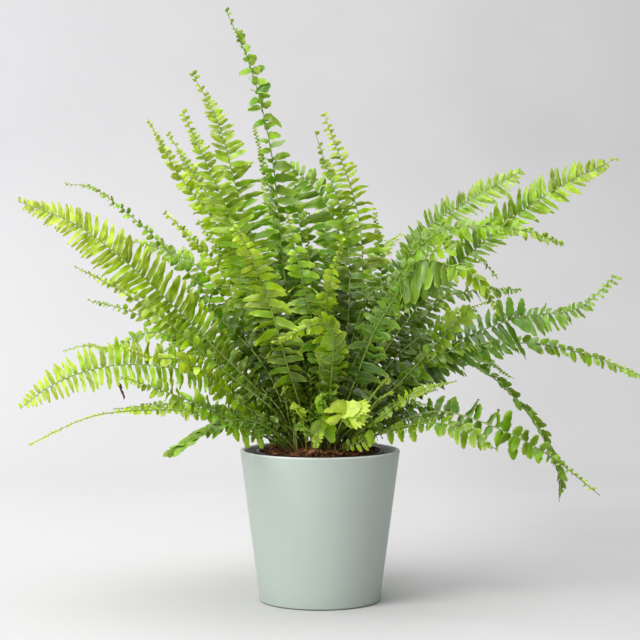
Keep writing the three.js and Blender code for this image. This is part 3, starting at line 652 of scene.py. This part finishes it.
# leaflets: a few shapes, one unit long and two wide, are bent and set to size where they grow
leafletForms = {
    "strap": {
        "base": 0.5, "taper": 0.42, "rounding": 0.68, "blunt": 0.12, "ear": 1.3, "sickle": 0.7,
        "thick": 0.012,
    },
    "oval": {
        "base": 0.42, "taper": 0.28, "rounding": 0.62, "blunt": 0.16, "ear": 1.2, "sickle": 0.4,
        "thick": 0.02,
    },
    "round": {
        "base": 0.4, "taper": 0.1, "rounding": 0.42, "blunt": 0.3, "ear": 1.1, "sickle": 0.1,
        "thick": 0.04,
    },
}
leaflet = {
    "stations": (0.0, 0.08, 0.2, 0.35, 0.5, 0.65, 0.8, 0.92, 1.0), "variants": 6, "rimAngle": 50,
    "strapFrom": 12.5 * mm, "ovalFrom": 7 * mm, "forward": 8, "forwardAtTip": 30, "fold": 8,
    "halfBase": 1.5 * mm, "halfGrowth": 0.09, "widest": 0.4, "rootShare": 0.4, "tailShare": 0.2,
    "tailGap": 1.5, "tailChance": 0.8, "stagger": 0.45,
}
fan = {"teeth": 6, "tooth": 0.13, "halfAngle": 34, "ripple": 0.014, "thick": 0.015}


def leafletWidth(form, u):
    past = max(0, u - form["rounding"]) / (1 - form["rounding"])
    rounded = math.sqrt(1 - past * past * (1 - form["blunt"] ** 2))
    return mix(form["base"], 1, smoothStep(u, 0, 0.2)) * (1 - form["taper"] * u) * rounded


def makeLeaflet(formName, variant, hand):
    form = leafletForms[formName]
    roll = random.Random(f"{formName}{variant}")
    cup, wave, phase = roll.uniform(-0.8, 0.3), roll.uniform(0.03, 0.08), roll.uniform(0, 6)
    bm = bmesh.new()
    uvMap = bm.loops.layers.uv.new("leafMap")
    stations = leaflet["stations"]
    bmesh.ops.create_grid(bm, x_segments=len(stations) - 1, y_segments=2, size=1)
    for vert in bm.verts:
        column = round((vert.co.x + 1) / 2 * (len(stations) - 1))
        u, v = stations[column], round(vert.co.y)
        for loop in vert.link_loops:
            loop[uvMap].uv = (u, (v + 1) / 2)
        half = leafletWidth(form, u)
        if column == 1 and v == hand:
            half *= form["ear"]
        crinkle = 1 + (0.11 if column % 2 else -0.09) * (0 < column < len(stations) - 1)
        vert.co.x = u
        vert.co.y = v * half * crinkle + hand * form["sickle"] * u * u
        ripple = v * math.sin(phase + 10 * u) + math.sin(phase * 2 + 7 * u) / 2
        vert.co.z = abs(v) * half * cup * 0.2 + ripple * wave
    return thickened(bm, form["thick"], f"{formName}_{variant}_{hand}")


def makeFan():  # a lobe with a toothed round end
    bm = bmesh.new()
    uvMap = bm.loops.layers.uv.new("leafMap")
    columns = 4 * fan["teeth"]
    bmesh.ops.create_grid(bm, x_segments=8, y_segments=columns, size=1)
    for vert in bm.verts:
        u, v = (vert.co.x + 1) / 2, vert.co.y
        for loop in vert.link_loops:
            loop[uvMap].uv = (u, (v + 1) / 2)
        notch = abs(math.sin((v + 1) / 2 * fan["teeth"] * math.pi))
        reach = mix(0.06, 1 - fan["tooth"] * (1 - notch) * u ** 3 - 0.2 * v * v, u)
        angle = math.radians(fan["halfAngle"]) * v
        ripple = fan["ripple"] * u * math.sin(v * fan["teeth"] * math.pi)
        vert.co = (reach * math.cos(angle), reach * math.sin(angle), ripple - 0.22 * u * v * v)
    return thickened(bm, fan["thick"], "fan")


def thickened(bm, thickness, name):
    bmesh.ops.solidify(bm, geom=bm.faces, thickness=thickness)
    bmesh.ops.recalc_face_normals(bm, faces=bm.faces)
    for edge in bm.edges:
        edge.smooth = edge.calc_face_angle(0) < math.radians(leaflet["rimAngle"])
    mesh = bpy.data.meshes.new(name)
    bm.to_mesh(mesh)
    bm.free()
    return mesh


leafletShapes = {
    (name, variant, hand): makeLeaflet(name, variant, hand)
    for name in leafletForms for variant in range(leaflet["variants"]) for hand in (1, -1)
}
leafletShapes["fan"] = makeFan()
print("leaflet shapes made:", len(leafletShapes))


# a leaf's vertex colour, look, holds its age with painted shade towards the heart, chance, leaf (1) or
# rib (0), and its depth in the plant for painted shade
# the four tones are copies of one leaf material: partly each frond's own green, partly painted light
# and shade, the darker ones mostly for fronds low and at the back
leafTones = {  # in the heart (older, and darker as painted shade), when grown and at the tip
    "lime": ((0.09, 0.19, 0.008), (0.3, 0.46, 0.026), (0.6, 0.72, 0.14)),
    "bright": ((0.05, 0.13, 0.008), (0.2, 0.37, 0.022), (0.52, 0.67, 0.13)),
    "mid": ((0.033, 0.09, 0.007), (0.13, 0.27, 0.02), (0.38, 0.55, 0.1)),
    "dark": ((0.024, 0.063, 0.004), (0.085, 0.18, 0.014), (0.3, 0.45, 0.07)),
}


def leafMaterial(tone):
    deep, full, tip = (rgb(*colour) for colour in leafTones[tone])
    mat = Paint("fern_" + tone)
    look = mat.node("ShaderNodeAttribute", {}, attribute_name="look")
    channels = mat.node("ShaderNodeSeparateColor", {0: look.outputs["Color"]}).outputs
    ageAndShade, chance, isLeaf = channels[0], channels[1], channels[2]
    leafMap = mat.node("ShaderNodeUVMap", {}, uv_map="leafMap").outputs[0]
    u, v, _ = mat.split(leafMap)

    body = mat.blend(mat.spread(ageAndShade, 0.0, 0.45), deep, full)
    body = mat.blend(mat.spread(ageAndShade, 0.4, 1.0), body, tip)
    mottle = mat.speckle(70.0, 4.0, 0.6)
    body = mat.blend(mat.spread(mottle, 0.35, 0.7, 0.0, 0.5), body, deep)
    lit = mat.spread(chance, 0.0, 1.0, 0.64, 1.52)
    warm = mat.spread(chance, 0.0, 1.0, 0.488, 0.508)
    shifted = mat.shift(body, Hue=warm, Value=lit)

    off = mat.calc("ABSOLUTE", mat.calc("SUBTRACT", v, 0.5))
    shifted = mat.blend(mat.spread(u, 0.0, 0.4, 0.45, 0.0), shifted, deep)
    edge = mat.calc("ADD", mat.spread(off, 0.15, 0.5, 0.0, 0.3), mat.spread(u, 0.5, 1.0, 0.0, 0.3))
    shifted = mat.blend(edge, shifted, tip)
    midrib = mat.spread(off, 0.02, 0.055, 0.22, 0.0)
    shifted = mat.blend(midrib, shifted, rgb(0.42, 0.56, 0.14))
    slant = mat.calc("SUBTRACT", mat.calc("MULTIPLY", u, 13.0), mat.calc("MULTIPLY", off, 5.0))
    vein = mat.calc("PINGPONG", slant, 0.5)
    shifted = mat.blend(mat.spread(vein, 0.0, 0.12, 0.1, 0.0), shifted, deep)

    brown = mat.spread(mat.split(mat.place)["Z"], 0.144, 0.175, 1.0, 0.0)  # the foot of a stalk
    rind = mat.blend(brown, rgb(0.34, 0.47, 0.09), rgb(0.13, 0.075, 0.03))
    rind = mat.blend(mat.speckle(300.0), rind, rgb(0.22, 0.3, 0.05))
    # painted shade: leaflets in the heart are painted down to half their brightness
    shade = mat.spread(look.outputs["Alpha"], 0.0, 1.0, 1.0, 0.5)
    shifted = mat.shift(shifted, Saturation=1.12, Value=shade)
    final = mat.blend(isLeaf, rind, shifted)
    gloss = mat.spread(mottle, 0.3, 0.7, 0.31, 0.47)
    mat.shade({
        "Base Color": final, "Roughness": gloss, "Specular IOR Level": 0.55,
        "Subsurface Weight": 0.3, "Subsurface Radius": (0.7, 1.0, 0.25), "Subsurface Scale": 0.0012,
    })
    mat.bump(mat.calc("SUBTRACT", vein, midrib), 0.2, 0.0003)
    return mat.material


leafMaterials = {tone: leafMaterial(tone) for tone in leafTones}
print("leaf materials made")

ribForm = {
    "sides": 6, "step": 8 * mm, "curlStep": 0.9 * mm, "width": 2.3 * mm, "tipWidth": 0.6 * mm,
    "curlWidth": 2.4, "leastBare": 24 * mm, "lastBare": 1.5 * mm,
}
# leaflets are oldest in the heart of the plant, and are painted darker there as shade
heart = {"at": Vector((10, 12, 222)) * mm, "size": Vector((110, 80, 108)) * mm, "reach": 370 * mm}


def heartShadeAt(point):  # painted shade: 1 in the heart, 0 outside it
    away = point - heart["at"]
    return 1 - smoothStep(Vector(a / b for a, b in zip(away, heart["size"])).length, 0.55, 1.25)


def leafletShare(row, v):
    body, peak = v / (1 - row.get("tail", 0.08)), row.get("peak", 0.4)
    if body >= 1:
        return leaflet["tailShare"]
    narrowing = 0.8 * max(0, (body - peak) / (1 - peak)) ** 1.7
    return mix(leaflet["rootShare"], 1, smoothStep(body, 0, peak)) * (1 - narrowing)


def leafletHalfWidth(row, length):
    half = leaflet["halfBase"] + leaflet["halfGrowth"] * length
    return min(leaflet["widest"] * length, half * row.get("wide", 1))


def growTube(bm, look, sides, circles):  # each circle: its middle, direction, upper side, radius, look
    cap = None
    for middle, along, upper, radius, tint in circles:
        side = upper.cross(along).normalized()
        turn = Matrix((side, along.cross(side), along)).transposed().to_4x4()
        place = Matrix.Translation(middle) @ turn @ Matrix.Scale(radius, 4)
        if cap is None:
            made = bmesh.ops.create_circle(bm, cap_ends=True, segments=sides, radius=1, matrix=place)
            verts = made["verts"]
            cap = verts[0].link_faces[0]
        else:
            made = bmesh.ops.extrude_face_region(bm, geom=[cap])["geom"]
            cap = next(item for item in made if isinstance(item, bmesh.types.BMFace))
            verts = cap.verts[:]
            bmesh.ops.transform(bm, matrix=place @ was.inverted(), verts=verts)
        was = place
        for vert in verts:
            vert[look] = tint


def growRib(bm, look, rib):
    row = rib["row"]
    steps = max(12, math.ceil(rib["length"] / ribForm["curlStep" if "curl" in row else "step"]))
    tipWidth = ribForm["tipWidth"] * (ribForm["curlWidth"] if "curl" in row else 1)
    circles = []
    for i in range(steps + 1):
        station = frameAt(rib, rib["length"] * i / steps)
        radius = mix(ribForm["width"], tipWidth, i / steps) / 2
        young = i / steps * (row.get("youth", 0) > 0.5)
        tint = (i / steps, 0.6, young, 0)
        circles.append((station["point"], station["along"], station["face"], radius, tint))
    growTube(bm, look, ribForm["sides"], circles)


def placeLeaflet(bm, look, shape, start, out, upper, size, bend, tint):
    length, half = size
    across = upper.cross(out)
    before = len(bm.verts)
    bm.from_mesh(shape)
    bm.verts.ensure_lookup_table()
    for vert in bm.verts[before:]:
        u, side, rise = vert.co.x, vert.co.y * half, vert.co.z * length
        cosTwirl, sinTwirl = math.cos(bend["twirl"] * u), math.sin(bend["twirl"] * u)
        place = start + out * (u * length) + across * (side * cosTwirl - rise * sinTwirl)
        place += upper * (side * sinTwirl + rise * cosTwirl - bend["curl"] * u * u * length)
        place.z -= bend["sag"] * u * u * length
        vert.co = place
        vert[look] = tint


# how far leaflets stray in degrees, and a twirl in radians: tidy ones, and more with wildness
strays = {"lift": (7, 20), "lean": (4, 16), "roll": (10, 40), "twirl": (0.25, 1.1)}


def stray(roll, kind, wild):
    least, more = strays[kind]
    return roll.uniform(-1, 1) * (least + more * wild)


def growLeaflet(bm, look, rib, run, hand, v, roll):
    row, station = rib["row"], frameAt(rib, run)
    away = clamp((station["point"] - heart["at"]).length / heart["reach"])
    wild = row.get("wild", 0.3) + 0.4 * max(0, 0.5 - away)
    length = row["leaf"] * mm * leafletShare(row, v) * roll.uniform(1 - 0.3 * wild, 1 + 0.2 * wild)
    length *= 1 - row.get("uneven", 0) * (hand < 0)
    half = leafletHalfWidth(row, length) * roll.uniform(0.92, 1.08)
    fold = row.get("fold", leaflet["fold"])
    fold = mix(*fold, v) if isinstance(fold, tuple) else fold
    lift = math.radians(fold + stray(roll, "lift", wild))
    lean = mix(leaflet["forward"], leaflet["forwardAtTip"], v) + stray(roll, "lean", wild)
    forward = math.radians(row.get("lean", 0) + row.get("skew", 0) * hand + lean)
    out = station["side"] * hand * math.cos(lift) + station["face"] * math.sin(lift)
    out = out * math.cos(forward) + station["along"] * math.sin(forward)
    upper = squareTo(station["face"], out)
    upper.rotate(Matrix.Rotation(math.radians(stray(roll, "roll", wild)), 3, out))
    longForm = row.get("form", "strap" if length > leaflet["strapFrom"] else "oval")
    formName = longForm if length > leaflet["ovalFrom"] else "round"
    shape = leafletShapes[formName, roll.randrange(leaflet["variants"]), -hand]
    bend = {
        "twirl": stray(roll, "twirl", wild), "curl": roll.uniform(-0.15, 0.4),
        "sag": (row.get("hang", 0.1) + roll.uniform(0, 0.2)) * math.hypot(out.x, out.y),
    }
    # painted shade: how deep in the heart the leaflet lies
    depth = heartShadeAt(station["point"] + out * length / 2)
    # nearer the heart the tone is darker: partly older leaves, partly painted shade
    ageAndShade = clamp(0.5 * v + away - 0.25 + row.get("youth", 0) + roll.uniform(-0.06, 0.14))
    tint = (ageAndShade, roll.random(), 1, depth)
    placeLeaflet(bm, look, shape, station["point"], out, upper, (length, half), bend, tint)


# single large leaflets and the young lobes at the front: root and tip in mm, half width against
# length, youth, and which ones are toothed fans
lobes = {
    "tallest": [
        ((-63, -39, 492), (-74, -40, 491), 0.3, 0.8), ((-62, -39, 491), (-50, -41, 495), 0.34, 0.1),
        ((-58, -37, 473), (-45, -39, 480), 0.36, 0.1), ((-57, -36, 467), (-65, -38, 463), 0.42, 0.5),
        ((-54, -36, 459), (-66, -37, 459), 0.26, 0.9), ((-51, -34, 447), (-61, -36, 444), 0.3, 0.4),
    ],
    "left_trailing": [
        ((-79, -42, 172), (-76, -48, 155), 0.2, 0.3), ((-70, -38, 169), (-68, -44, 149), 0.18, 0.2),
        ((-58, -32, 164), (-55, -40, 148), 0.2, 0.2),
    ],
    "right_broad": [
        ((167, -14, 262), (166, -20, 283), 0.2, 0.3), ((176, -15, 266), (176, -20, 286), 0.2, 0.45),
        ((185, -15, 268), (188, -20, 284), 0.22, 0.35),
    ],
    "right_low_long": [
        ((176, -69, 161), (173, -72, 141), 0.28, 0.25), ((187, -73, 156), (188, -76, 142), 0.34, 0.3),
        ((197, -77, 151), (194, -80, 139), 0.36, 0.35),
    ],
    "right_low_front": [
        ((64, -58, 166), (64, -62, 154), 0.28, 0.1), ((73, -68, 170), (74, -72, 157), 0.28, 0.1),
        ((82, -78, 172), (83, -82, 158), 0.28, 0.1),
    ],
    "front_lime": [
        ((20, -64, 185), (44, -78, 190), 0.95, 1, "fan"),
        ((21, -63, 184), (41, -78, 176), 0.8, 0.9, "fan"), ((28, -66, 187), (11, -76, 193), 0.36, 1),
        ((16, -66, 184), (36, -76, 187), 0.4, 1), ((23, -66, 186), (5, -76, 188), 0.18, 1),
        ((26, -66, 184), (6, -77, 176), 0.45, 0.95, "fan"), ((20, -59, 180), (29, -63, 168), 0.24, 0.5),
    ],
    "front_hanging": [
        ((2, -57, 180), (0, -60, 197), 0.34, 0.45), ((3, -60, 177), (10, -66, 156), 0.26, 0.3),
        ((2, -58, 179), (13, -64, 166), 0.3, 0.35),
    ],
    "front_tiny": [
        ((47, -60, 150), (45, -62, 167), 0.62, 0.3, "fan"),
    ],
}


def growLobes(bm, look, name, roll):
    for root, tip, wide, youth, *kind in lobes.get(name, []):
        start = Vector(root) * mm
        reach = Vector(tip) * mm - start
        out = reach.normalized()
        upper = squareTo(Vector((roll.uniform(-0.3, 0.3), -0.9, 0.45)), out)
        key = "fan" if kind else ("oval", roll.randrange(leaflet["variants"]), 1)
        bend = {"twirl": 0 if kind else roll.uniform(-0.5, 0.5), "curl": 0.12, "sag": 0.05}
        # painted light: the lobes take the bright end of the random brightness, against the shade of
        # the fronds above
        size, tint = (reach.length, reach.length * wide), (youth, roll.uniform(0.8, 1), 1, 0)
        placeLeaflet(bm, look, leafletShapes[key], start, out, upper, size, bend, tint)


def startLeaves():
    bm = bmesh.new()
    bm.loops.layers.uv.new("leafMap")
    return bm, bm.verts.layers.float_color.new("look")


def makeFrond(name, rib, roll, replaced):
    row = rib["row"]
    bm, look = startLeaves()
    growRib(bm, look, rib)
    growLobes(bm, look, name, roll)
    start = max(row.get("bare", 0.05) * rib["length"], ribForm["leastBare"])
    end = rib["length"] - ribForm["lastBare"]
    run = start
    while row["leaf"] and run < end:
        v = (run - start) / (rib["length"] - start)
        inTail = v > 1 - row.get("tail", 0.08)
        width = 2 * leafletHalfWidth(row, row["leaf"] * mm * leafletShare(row, v))
        pitch = width * row.get("gap", 1.03) * (leaflet["tailGap"] if inTail else 1)
        for hand in (1, -1):
            if not inTail or roll.random() < leaflet["tailChance"]:
                place = run + (leaflet["stagger"] * (hand < 0) + roll.uniform(0, 0.2)) * pitch
                growLeaflet(bm, look, rib, min(place, end), hand, v, roll)
        run += pitch
    finishPiece(bm, "fern_" + name, leafMaterials[row["tone"]], replaced)


seeds = {"fronds": 5, "fillers": 700, "undergrowth": 900, "litter": 77}
roots = placeRoots()
print("roots placed")
for index, (name, row) in enumerate(fronds.items()):
    roll = random.Random(index + seeds["fronds"])
    makeFrond(name, traceRib(row, roots[index]), roll, "frond_" + name)
print("fronds made:", len(fronds))

# short fronds among the stalks: how far out they grow, their height, reach and leaflets in mm
undergrowth = {
    "low": {
        "count": 34, "ring": (8, 38), "height": (18, 70), "reach": (15, 60), "leaf": (6, 9),
        "youth": (-0.1, 0.35),
    },
    "skirt": {
        "count": 20, "ring": (28, 38), "height": (28, 60), "reach": (50, 85), "leaf": (6, 9),
        "youth": (-0.1, 0.3),
    },
    "inner": {
        "count": 15, "ring": (4, 34), "height": (90, 185), "reach": (20, 75), "leaf": (9, 15),
        "youth": (-0.2, 0.1),
    },
}


def headed(angle):
    return Vector((math.cos(angle), math.sin(angle)))


def makeUndergrowth(kind, form, seed):
    for index in range(form["count"]):
        roll = random.Random(seed + index)
        angle = 2 * math.pi * (index + roll.random()) / form["count"]
        radius, height = roll.uniform(*form["ring"]), roll.uniform(*form["height"])
        foot = headed(angle) * radius
        angle += roll.uniform(-0.4, 0.4)
        out = headed(angle) * roll.uniform(*form["reach"])
        ground = soilHeight(foot.x * mm, foot.y * mm)
        rises = ((0.2, 0.6), (0.6, 0.95), (1, roll.uniform(0.75, 1.1)))
        row = {
            "rib": [(*(foot + out * share), ground / mm + height * rise) for share, rise in rises],
            "leaf": roll.uniform(*form["leaf"]), "face": roll.uniform(0.2, 0.9),
            "wide": 1.35, "wild": 0.6, "peak": 0.5, "youth": roll.uniform(*form["youth"]),
            "tone": roll.choice(["lime", "bright", "mid", "mid"]),
        }
        rib = traceRib(row, Vector((foot.x * mm, foot.y * mm, ground)))
        makeFrond(f"{kind}_{index}", rib, roll, None)


# fronds in the gaps between the long ones, like the rows above
def addFiller(name, tone, leaf, rib, **form):
    row = {"face": 0.7, "wide": 1.3, "peak": 0.55, "wild": 0.8, **form}
    fillers[name] = {"tone": tone, "leaf": leaf, "rib": rib, **row}


fillers = {}
addFiller("right_upper", "mid", 17, [(60, 25, 200), (112, 35, 248), (150, 35, 272)], wild=0.9)
addFiller("right_lower", "bright", 16, [(58, -20, 190), (112, -25, 232), (158, -30, 244)], wild=1)
addFiller("right_short", "bright", 20, [(50, 10, 205), (95, 15, 262), (125, 12, 290)], wild=0.7)
addFiller("mid_gap", "mid", 19, [(-8, 22, 250), (-18, 32, 340), (-26, 42, 404)])
addFiller("mid_low", "bright", 17, [(-4, -12, 240), (-10, -16, 315), (-12, -18, 350)])
addFiller("left_gap", "bright", 18, [(-48, 14, 245), (-88, 22, 318), (-116, 26, 356)])
addFiller("left_mid", "mid", 17, [(-54, 6, 222), (-98, 8, 268), (-124, 8, 292)])
addFiller("right_gap", "bright", 14, [(66, 5, 222), (118, 6, 264), (158, 2, 281)])
addFiller("right_cluster", "bright", 15, [(72, -30, 205), (112, -50, 250), (136, -60, 276)],
    wide=1.5, peak=0.8, tail=0.0, bare=0.5, wild=0.5, youth=0.1)
addFiller("right_pale", "bright", 14, [(56, -40, 235), (88, -72, 316), (116, -92, 334)], wide=1.6,
    peak=0.8, tail=0.0, bare=0.62, wild=0.5, youth=-0.2)
addFiller("foot_right", "bright", 8, [(38, -38, 154), (50, -48, 168), (64, -52, 162)])
addFiller("foot_front", "mid", 7, [(28, -42, 150), (38, -52, 160), (52, -54, 153)])
addFiller("foot_left", "mid", 8, [(-34, -34, 152), (-48, -44, 166), (-62, -48, 158)])
for index, (name, row) in enumerate(fillers.items()):
    foot = Vector(row["rib"][0]).xy.normalized() * (14 + 1.9 * index) * mm
    rib = traceRib(row, onSoil(foot.x, foot.y))
    makeFrond("filler_" + name, rib, random.Random(seeds["fillers"] + index), None)
for index, (kind, form) in enumerate(undergrowth.items()):
    makeUndergrowth(kind, form, seeds["undergrowth"] + 100 * index)
print("undergrowth made")


# what lies on the soil: coir fibres, crumbs of bark, dead scraps of leaf and stubs of old stalks
litter = {
    "fibres": 260, "fibreLength": (6 * mm, 20 * mm), "fibreRadius": (0.22 * mm, 0.45 * mm),
    "crumbs": 300, "crumbSize": (1.0 * mm, 2.8 * mm), "scraps": 30, "stubs": 20,
    "stubRadius": 0.95 * mm, "pile": 3 * mm, "room": 57 * mm,
}


def litterMaterial():
    mat = Paint("soil_litter")
    look = mat.node("ShaderNodeAttribute", {}, attribute_name="look")
    kind, chance, _ = mat.node("ShaderNodeSeparateColor", {0: look.outputs["Color"]}).outputs
    tint = mat.blend(mat.spread(kind, 0.0, 0.5), rgb(0.06, 0.028, 0.014), rgb(0.6, 0.24, 0.085))
    tint = mat.blend(mat.spread(kind, 0.5, 1.0), tint, rgb(0.8, 0.62, 0.38))
    tint = mat.blend(mat.speckle(500.0), tint, rgb(0.12, 0.06, 0.03))
    lit = mat.spread(chance, 0.0, 1.0, 0.5, 1.5)
    tint = mat.shift(tint, Value=lit)
    mat.shade({"Base Color": tint, "Roughness": 0.8, "Specular IOR Level": 0.3})
    mat.bump(mat.speckle(900.0), 0.4, 0.0004)
    return mat.material


def spotOnSoil(roll):
    angle, radius = roll.uniform(0, 2 * math.pi), litter["room"] * math.sqrt(roll.random())
    return radius * math.cos(angle), radius * math.sin(angle)


def pileHeight(x, y):  # the litter lies thicker towards the rim
    return soilHeight(x, y) + litter["pile"] * smoothStep(math.hypot(x, y) / litter["room"], 0.3, 0.95)


def addFibre(bm, look, roll):
    x, y = spotOnSoil(roll)
    heading, bend = roll.uniform(0, 2 * math.pi), roll.uniform(-1.2, 1.2)
    length, arch = roll.uniform(*litter["fibreLength"]), roll.uniform(0.3, 3) * mm
    base, steps, points = pileHeight(x, y), 5, []
    for i in range(steps + 1):
        rise = arch * math.sin(math.pi * i / steps) + roll.uniform(-0.4, 0.6) * mm
        points.append(Vector((x, y, base + rise)))
        x += math.cos(heading) * length / steps
        y += math.sin(heading) * length / steps
        heading += bend / steps
    if points[-1].xy.length > litter["room"]:
        return
    radius, tint = roll.uniform(*litter["fibreRadius"]), (roll.uniform(0.3, 0.62), roll.random(), 0, 0)
    ends = [points[0], *points, points[-1]]
    growTube(bm, look, 4, [
        (point, (after - before).normalized(), Vector((0, 0, 1)), radius, tint)
        for before, point, after in zip(ends, points, ends[2:])
    ])


def addCrumb(bm, look, roll):
    x, y = spotOnSoil(roll)
    spot = Vector((x, y, pileHeight(x, y) + roll.uniform(-0.6, 0.7) * mm))
    sides = [roll.uniform(*span) for span in ((0.5, 1.5), (0.3, 0.8), (0.25, 0.6))]
    shape = Matrix.Diagonal((*sides, 1))
    turn = Matrix.Rotation(roll.uniform(0, 2 * math.pi), 4, Vector((roll.random(), roll.random(), 1)))
    size = Matrix.Scale(roll.uniform(*litter["crumbSize"]), 4)
    place = Matrix.Translation(spot) @ turn @ shape @ size
    tint = (roll.choice((0, 0.05, 0.15, 0.3, 0.45, 0.55)), roll.random(), 0, 0)
    for vert in bmesh.ops.create_icosphere(bm, subdivisions=1, radius=1, matrix=place)["verts"]:
        vert.co += Vector([roll.uniform(-0.2, 0.2) for _ in range(3)]) * mm
        vert[look] = tint


def addScrap(bm, look, roll):
    x, y = spotOnSoil(roll)
    heading = roll.uniform(0, 2 * math.pi)
    out = Vector((math.cos(heading), math.sin(heading), roll.uniform(0, 0.8))).normalized()
    start = Vector((x, y, pileHeight(x, y) + 1.2 * mm))
    shape = leafletShapes["oval", roll.randrange(leaflet["variants"]), 1]
    bend = {"twirl": roll.uniform(-2, 2), "curl": roll.uniform(-0.5, 0.5), "sag": 0.1}
    size = (roll.uniform(5, 11) * mm, roll.uniform(1.2, 2.4) * mm)
    if (start + out * size[0]).xy.length < litter["room"]:
        tint = (roll.uniform(0.55, 1), roll.random(), 0, 0)
        placeLeaflet(bm, look, shape, start, out, out.orthogonal().normalized(), size, bend, tint)


def addStub(bm, look, roll):
    angle, radius = roll.uniform(0, 2 * math.pi), roll.uniform(6, 40) * mm
    x, y = radius * math.cos(angle), radius * math.sin(angle)
    lean = [part / 2 + roll.uniform(-0.4, 0.4) for part in (math.cos(angle), math.sin(angle))]
    lean = Vector((*lean, 1))
    length, tint = roll.uniform(6, 26) * mm, (roll.uniform(0.2, 0.8), roll.random(), 0, 0)
    foot, circles = Vector((x, y, soilHeight(x, y) - 2 * mm)), []
    for share in (0, 0.4, 0.8, 1):
        middle, radius = foot + lean * length * share, litter["stubRadius"] * (1 - 0.35 * share)
        circles.append((middle, lean.normalized(), Vector((1, 0, 0)), radius, tint))
    growTube(bm, look, 5, circles)


def makeLitter():
    roll = random.Random(seeds["litter"])
    bm, look = startLeaves()
    kinds = {"fibres": addFibre, "crumbs": addCrumb, "scraps": addScrap, "stubs": addStub}
    for kind, add in kinds.items():
        for _ in range(litter[kind]):
            add(bm, look, roll)
    finishPiece(bm, "soil_litter", litterMaterial(), None)


makeLitter()
print("litter laid on the soil")

# a withered leaflet that hangs from the lower left arch
withered = {
    "at": (-183, -60, 209), "tip": (-178, -61, 193), "halfWidth": 1.3, "look": (0.12, 0.3, 0, 0),
    "bend": {"twirl": 2.2, "curl": 0.3, "sag": 0},
}


def makeWithered():
    bm, look = startLeaves()
    start = Vector(withered["at"]) * mm
    reach = Vector(withered["tip"]) * mm - start
    size = (reach.length, withered["halfWidth"] * mm)
    placeLeaflet(bm, look, leafletShapes["strap", 2, 1], start, reach.normalized(),
                 Vector((0, -1, 0)), size, withered["bend"], withered["look"])
    finishPiece(bm, "withered_leaflet", bpy.data.materials["soil_litter"], None)


makeWithered()
print("withered leaflet hung")
